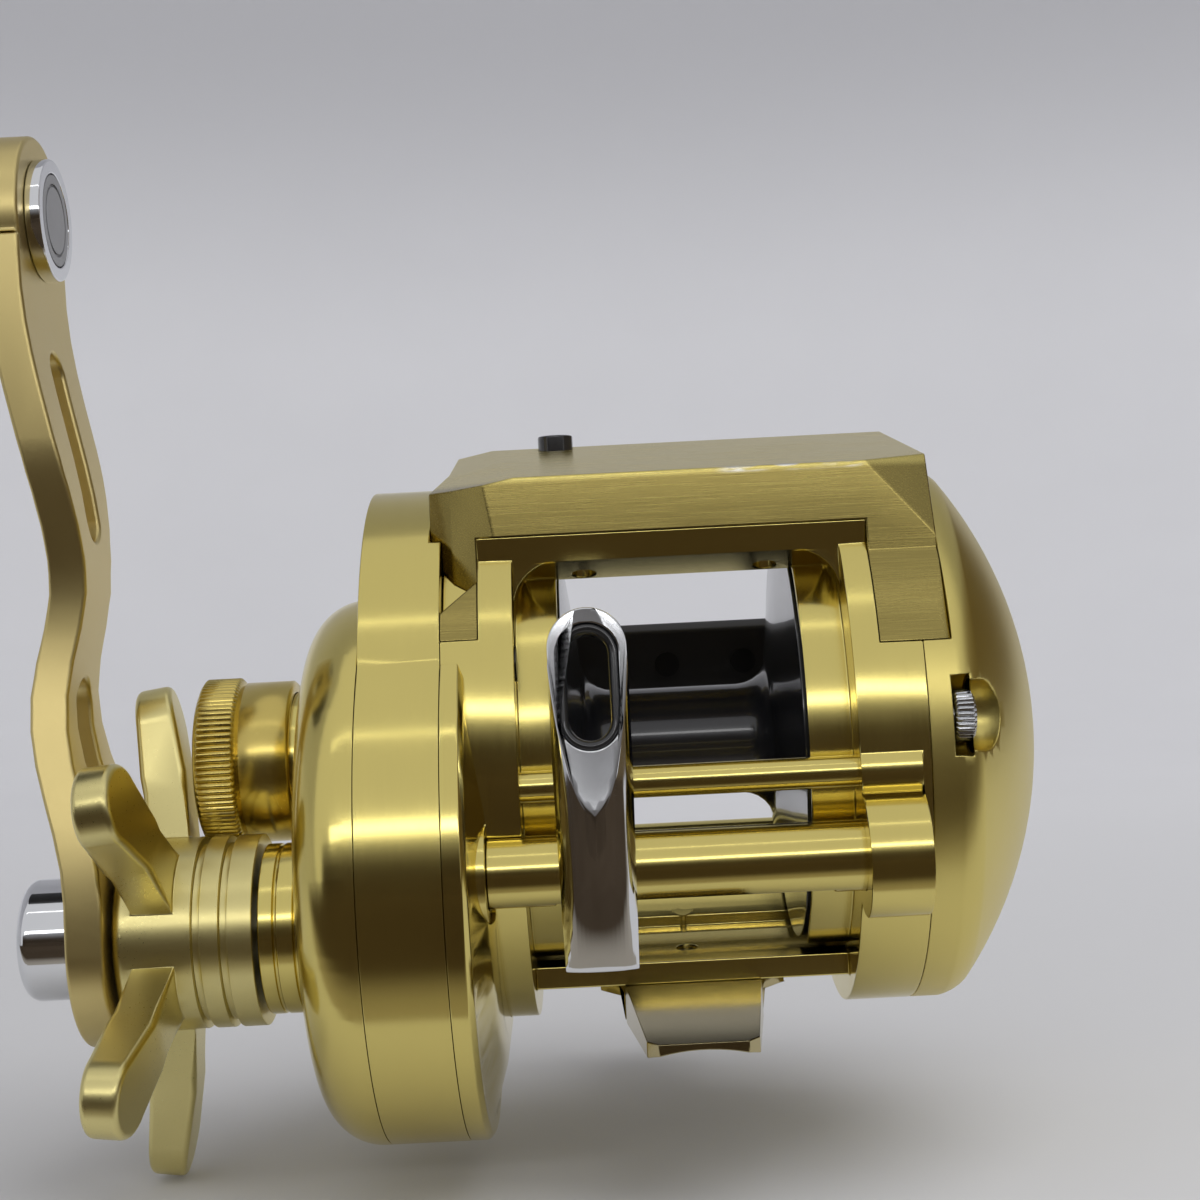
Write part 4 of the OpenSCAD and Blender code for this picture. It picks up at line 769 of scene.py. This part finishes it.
# %% Foot
low, high = box_of("reel_foot")
toe_half = 6.25
wing_half = high.x
wing_under = (0.9, 1.3)
spare = 2
cut_half = 15
middle_y = (low.y + high.y) / 2
wing_line = [
    (toe_half, low.z - spare), (wing_half + spare, low.z - spare), (wing_half + spare, wing_under[1]),
    (wing_half, wing_under[1]), (toe_half, wing_under[0]),
]
cutter = bmesh.new()
for hand in (-1, 1):
    ends = [
        [cutter.verts.new((hand * x, middle_y + y, z)) for x, z in wing_line]
        for y in (-cut_half, cut_half)
    ]
    cutter.faces.new(ends[0])
    cutter.faces.new(ends[1])
    for k in range(len(wing_line)):
        cutter.faces.new((ends[0][k - 1], ends[0][k], ends[1][k], ends[1][k - 1]))
bmesh.ops.recalc_face_normals(cutter, faces=cutter.faces)
saddle = carve(copy_of("reel_foot"), cutter)
break_edges(saddle, 0.12)
make("plated_saddle", saddle, "reel_foot", foot_plate)
print("foot with wings", round(high.z - wing_under[0], 2), "mm thick")

# %% [markdown]
# ## Everything else
# The bearings, gears, screws and washers inside keep their CAD shape. They could be left bare,
# but some show when the palm cover is pulled off, so each still gets the finish of its own material.

# %% Carried-over solids
CARRIED = {
    steel: ["cover_screws", "hood_screws", "foot_screws", "one_way_bearing", "drive_bearing",
            "gear_side_spool_bearing", "clutch_guide_pins", "palm_side_spool_bearing", "spool_shaft",
            "spool_pin", "clutch_cam", "clutch_yoke", "clutch_springs", "drive_shaft", "drag_plates",
            "drive_sleeve", "star_spring_washers", "knob_bearings", "worm_shaft", "pawl"],
    black_steel: ["case_screws", "thumb_bar_screws"],
    brass: ["worm_bushes", "drive_bush", "brake_race", "pinion", "main_gear", "cast_shim"],
    chrome: ["pawl_cap"],
    white_plastic: ["brake_shoes", "level_wind_gear", "worm_gear"],
    brown_plastic: ["brake_hub"],
    drag_fibre: ["drag_washers"],
    rubber: ["cover_seal", "cast_knob_seal"],
    satin_gold: ["knob_cap"],
    grey_disc: ["knob_post_cap"],
}
for finish, members in CARRIED.items():
    for node in members:
        nodes[node].data.materials.clear()
        nodes[node].data.materials.append(finish.material)
print(sum(map(len, CARRIED.values())), "solids carried over")

# %% [markdown]
# ## Camera
# The photo was taken from close in front, with the reel a little tilted in the frame. A camera aimed by
# a track constraint would stand upright, so its three axes are written out, with the roll turned in.
# The lens follows from the focal length and the photo's width, both in pixels.

# %% Camera
SENSOR_MM = 36
PHOTO_PX = 1200
FOCAL_PX = 1987
EYE = (-6.7 * MM, -190 * MM, 37.32 * MM)
ROLL = math.radians(2.9)
camera_data = bpy.data.cameras.new("camera")
camera_data.sensor_width = SENSOR_MM
camera_data.lens = FOCAL_PX / PHOTO_PX * SENSOR_MM
camera_data.clip_start = 0.01
camera = bpy.data.objects.new("camera", camera_data)
bpy.context.scene.collection.objects.link(camera)
right = Vector((math.cos(ROLL), 0, -math.sin(ROLL)))
up = Vector((math.sin(ROLL), 0, math.cos(ROLL)))
back = Vector((0, -1, 0))
camera.matrix_world = Matrix((
    (right.x, up.x, back.x, EYE[0]),
    (right.y, up.y, back.y, EYE[1]),
    (right.z, up.z, back.z, EYE[2]),
    (0, 0, 0, 1),
))
bpy.context.scene.camera = camera
print("camera at", tuple(round(c, 4) for c in camera.location))

# %% [markdown]
# ## Paper
# Bright metal shows the room more than its own colour, so the room matters as much as the gold.
# The reel stands on a pale paper that rises behind it in one bend, as a photographer hangs it.
# A flat floor and a wall would show a line where they meet. In front the paper stays flat and open,
# where the camera and the lamps stand.

# %% Shape of the paper
FLAT = 0.42
BEND = 0.36
WALL = 2.0
SIDES = 96
RISE_FROM = 0.45
RISE_OVER = 0.6
floor_z = cad_box[0].z - 0.3 * MM


def scoop(name, outline, finish):
    """A round floor from (radius, rise) points in metres, which rises behind and stays flat in front."""
    bm = bmesh.new()
    middle = bm.verts.new((0, 0, floor_z))
    rings = []
    for radius, rise in outline:
        ring = []
        for k in range(SIDES):
            angle = 2 * math.pi * k / SIDES
            share = min(1, max(0, (math.sin(angle) + RISE_FROM) / RISE_OVER))
            share = share * share * (3 - 2 * share)
            place = (radius * math.cos(angle), radius * math.sin(angle), floor_z + rise * share)
            ring.append(bm.verts.new(place))
        rings.append(ring)
    for k in range(SIDES):
        bm.faces.new((middle, rings[0][k - 1], rings[0][k]))
        for inside, outside in zip(rings, rings[1:]):
            bm.faces.new((inside[k - 1], outside[k - 1], outside[k], inside[k]))
    for face in bm.faces:
        face.smooth = True
    object_from(name, bm, finish)


print("paper lies at", round(floor_z / MM, 2), "mm")

# %% [markdown]
# The paper isn't one tone: the photo has it a little darker under the reel and again high up.
# Lamps could give that shade, but they would change the gold too, so the shade is painted into the paper's colour.

# %% Pale paper
PAPER_TONES = ((0.83, 0.83, 0.85), (0.87, 0.87, 0.89))
PAPER_SHADE_NEAR = (0.65, 0.65, 0.66)
PAPER_SHADE_HIGH = (0.6, 0.6, 0.62)
paper = Finish("pale_paper", None, Roughness=0.9, Specular_IOR_Level=0.1)
# Painted shade: the paper is darker near the reel and high up where it rises.
shade_high_up = paper.ramp(paper.coordinate("Z"), 140, 330)
shade_near_reel = 1 - paper.ramp(paper.coordinate("Y"), 40, 420)
paper_tone = paper.blend(*PAPER_TONES, paper.grain(60))
paper_tone = paper.blend(paper_tone, PAPER_SHADE_NEAR, shade_near_reel)
paper.feed("Base Color", paper.blend(paper_tone, PAPER_SHADE_HIGH, shade_high_up))
bend = [math.radians(a) for a in range(0, 91, 6)]
paper_line = [(0.2, 0)]
paper_line += [(FLAT + BEND * math.sin(a), BEND * (1 - math.cos(a))) for a in bend]
paper_line += [(FLAT + BEND, WALL)]
scoop("pale_paper", paper_line, paper)
print("paper with", len(paper_line), "rings")

# %% [markdown]
# ## Cards
# The rims of the reel show dark bands: they mirror the unlit side of the room, in front of the reel
# and below the light. A dark card stands for it, and a warm one on the right does the same
# for the palm cover. Painting the bands on the gold would leave them in place when the reel turns.
# Only reflections see the cards, so they neither shade the paper nor stand in the picture.

# %% Cards that only reflections see
def card_sheet(name, finish, rows):
    """A sheet through rows of points in metres, seen by reflections and by nothing else."""
    bm = bmesh.new()
    rows = [[bm.verts.new(place) for place in row] for row in rows]
    for near, far in zip(rows, rows[1:]):
        bm.faces.new((near[0], near[1], far[1], far[0]))
    sheet = object_from(name, bm, finish)
    sheet.visible_camera = False
    sheet.visible_diffuse = False
    sheet.visible_shadow = False
    print(name, len(rows), "rows")


CARD_HALF = 0.6
WARM_X = 0.42
WARM_TOP = 0.3
card_z = floor_z + 0.6 * MM
dark = Finish("dark_card", None, Roughness=1.0, Specular_IOR_Level=0.0)
dark_tone = dark.blend((0.045, 0.032, 0.02), (0.07, 0.052, 0.035), dark.grain(80))
dark_tone = dark.blend(dark_tone, (0.5, 0.5, 0.5), dark.ramp(dark.coordinate("Z"), 70, 200))
by_the_reel = dark.ramp(dark.coordinate("Y"), -66, -44)
dark.feed("Base Color", dark.blend(dark_tone, (0.34, 0.31, 0.26), by_the_reel))
dark_line = [(-0.042, card_z), (-0.4, card_z), (-0.445, card_z + 0.05), (-0.45, 0.172)]
card_sheet("dark_card", dark, [[(x, y, z) for x in (-CARD_HALF, CARD_HALF)] for y, z in dark_line])
warm = Finish("warm_card", None, Roughness=1.0, Specular_IOR_Level=0.0)
warm.feed("Base Color", warm.blend((0.14, 0.1, 0.05), (0.2, 0.15, 0.08), warm.grain(80)))
card_sheet("warm_card", warm, [[(WARM_X, y, z) for z in (card_z, WARM_TOP)] for y in (-0.25, 0.6)])

# %% [markdown]
# ## Light
# The sky gives an even light and a soft lamp overhead makes the shadow. A strip in front draws the hot line
# on every round rim, and a thin one above it a fainter second line. One large lamp could light
# the reel too, but its reflection would cover the rims, so the overhead lamp isn't seen in the metal.

# %% Lamps and world
def lamp(name, place, size, radiance):
    """A soft rectangular lamp aimed at the reel; its power follows from its size and brightness."""
    data = bpy.data.lights.new(name, "AREA")
    data.shape = "RECTANGLE"
    data.size, data.size_y = size
    data.energy = radiance * math.pi * size[0] * size[1]
    obj = bpy.data.objects.new(name, data)
    obj.location = place
    look = Vector(AIM) - Vector(place)
    obj.rotation_euler = look.to_track_quat("-Z", "Y").to_euler()
    obj.visible_camera = False
    bpy.context.scene.collection.objects.link(obj)
    return obj


AIM = (0, 0, 0.02)
SKY = (0.98, 0.98, 1, 1)
SKY_STRENGTH = 0.65
overhead = lamp("overhead", (0.24, -0.14, 0.56), (0.6, 0.5), 1.9)
overhead.visible_glossy = False
lamp("front_strip", (0, -0.43, 0.19), (0.7, 0.036), 3.6)
lamp("high_line", (0, -0.27, 0.5), (0.7, 0.014), 1.8)
world = bpy.data.worlds.new("room")
bpy.context.scene.world = world
world.use_nodes = True
sky = world.node_tree.nodes["Background"]
sky.inputs["Color"].default_value = SKY
sky.inputs["Strength"].default_value = SKY_STRENGTH
bpy.context.scene.view_settings.view_transform = "Standard"
print("three lamps and a pale sky")
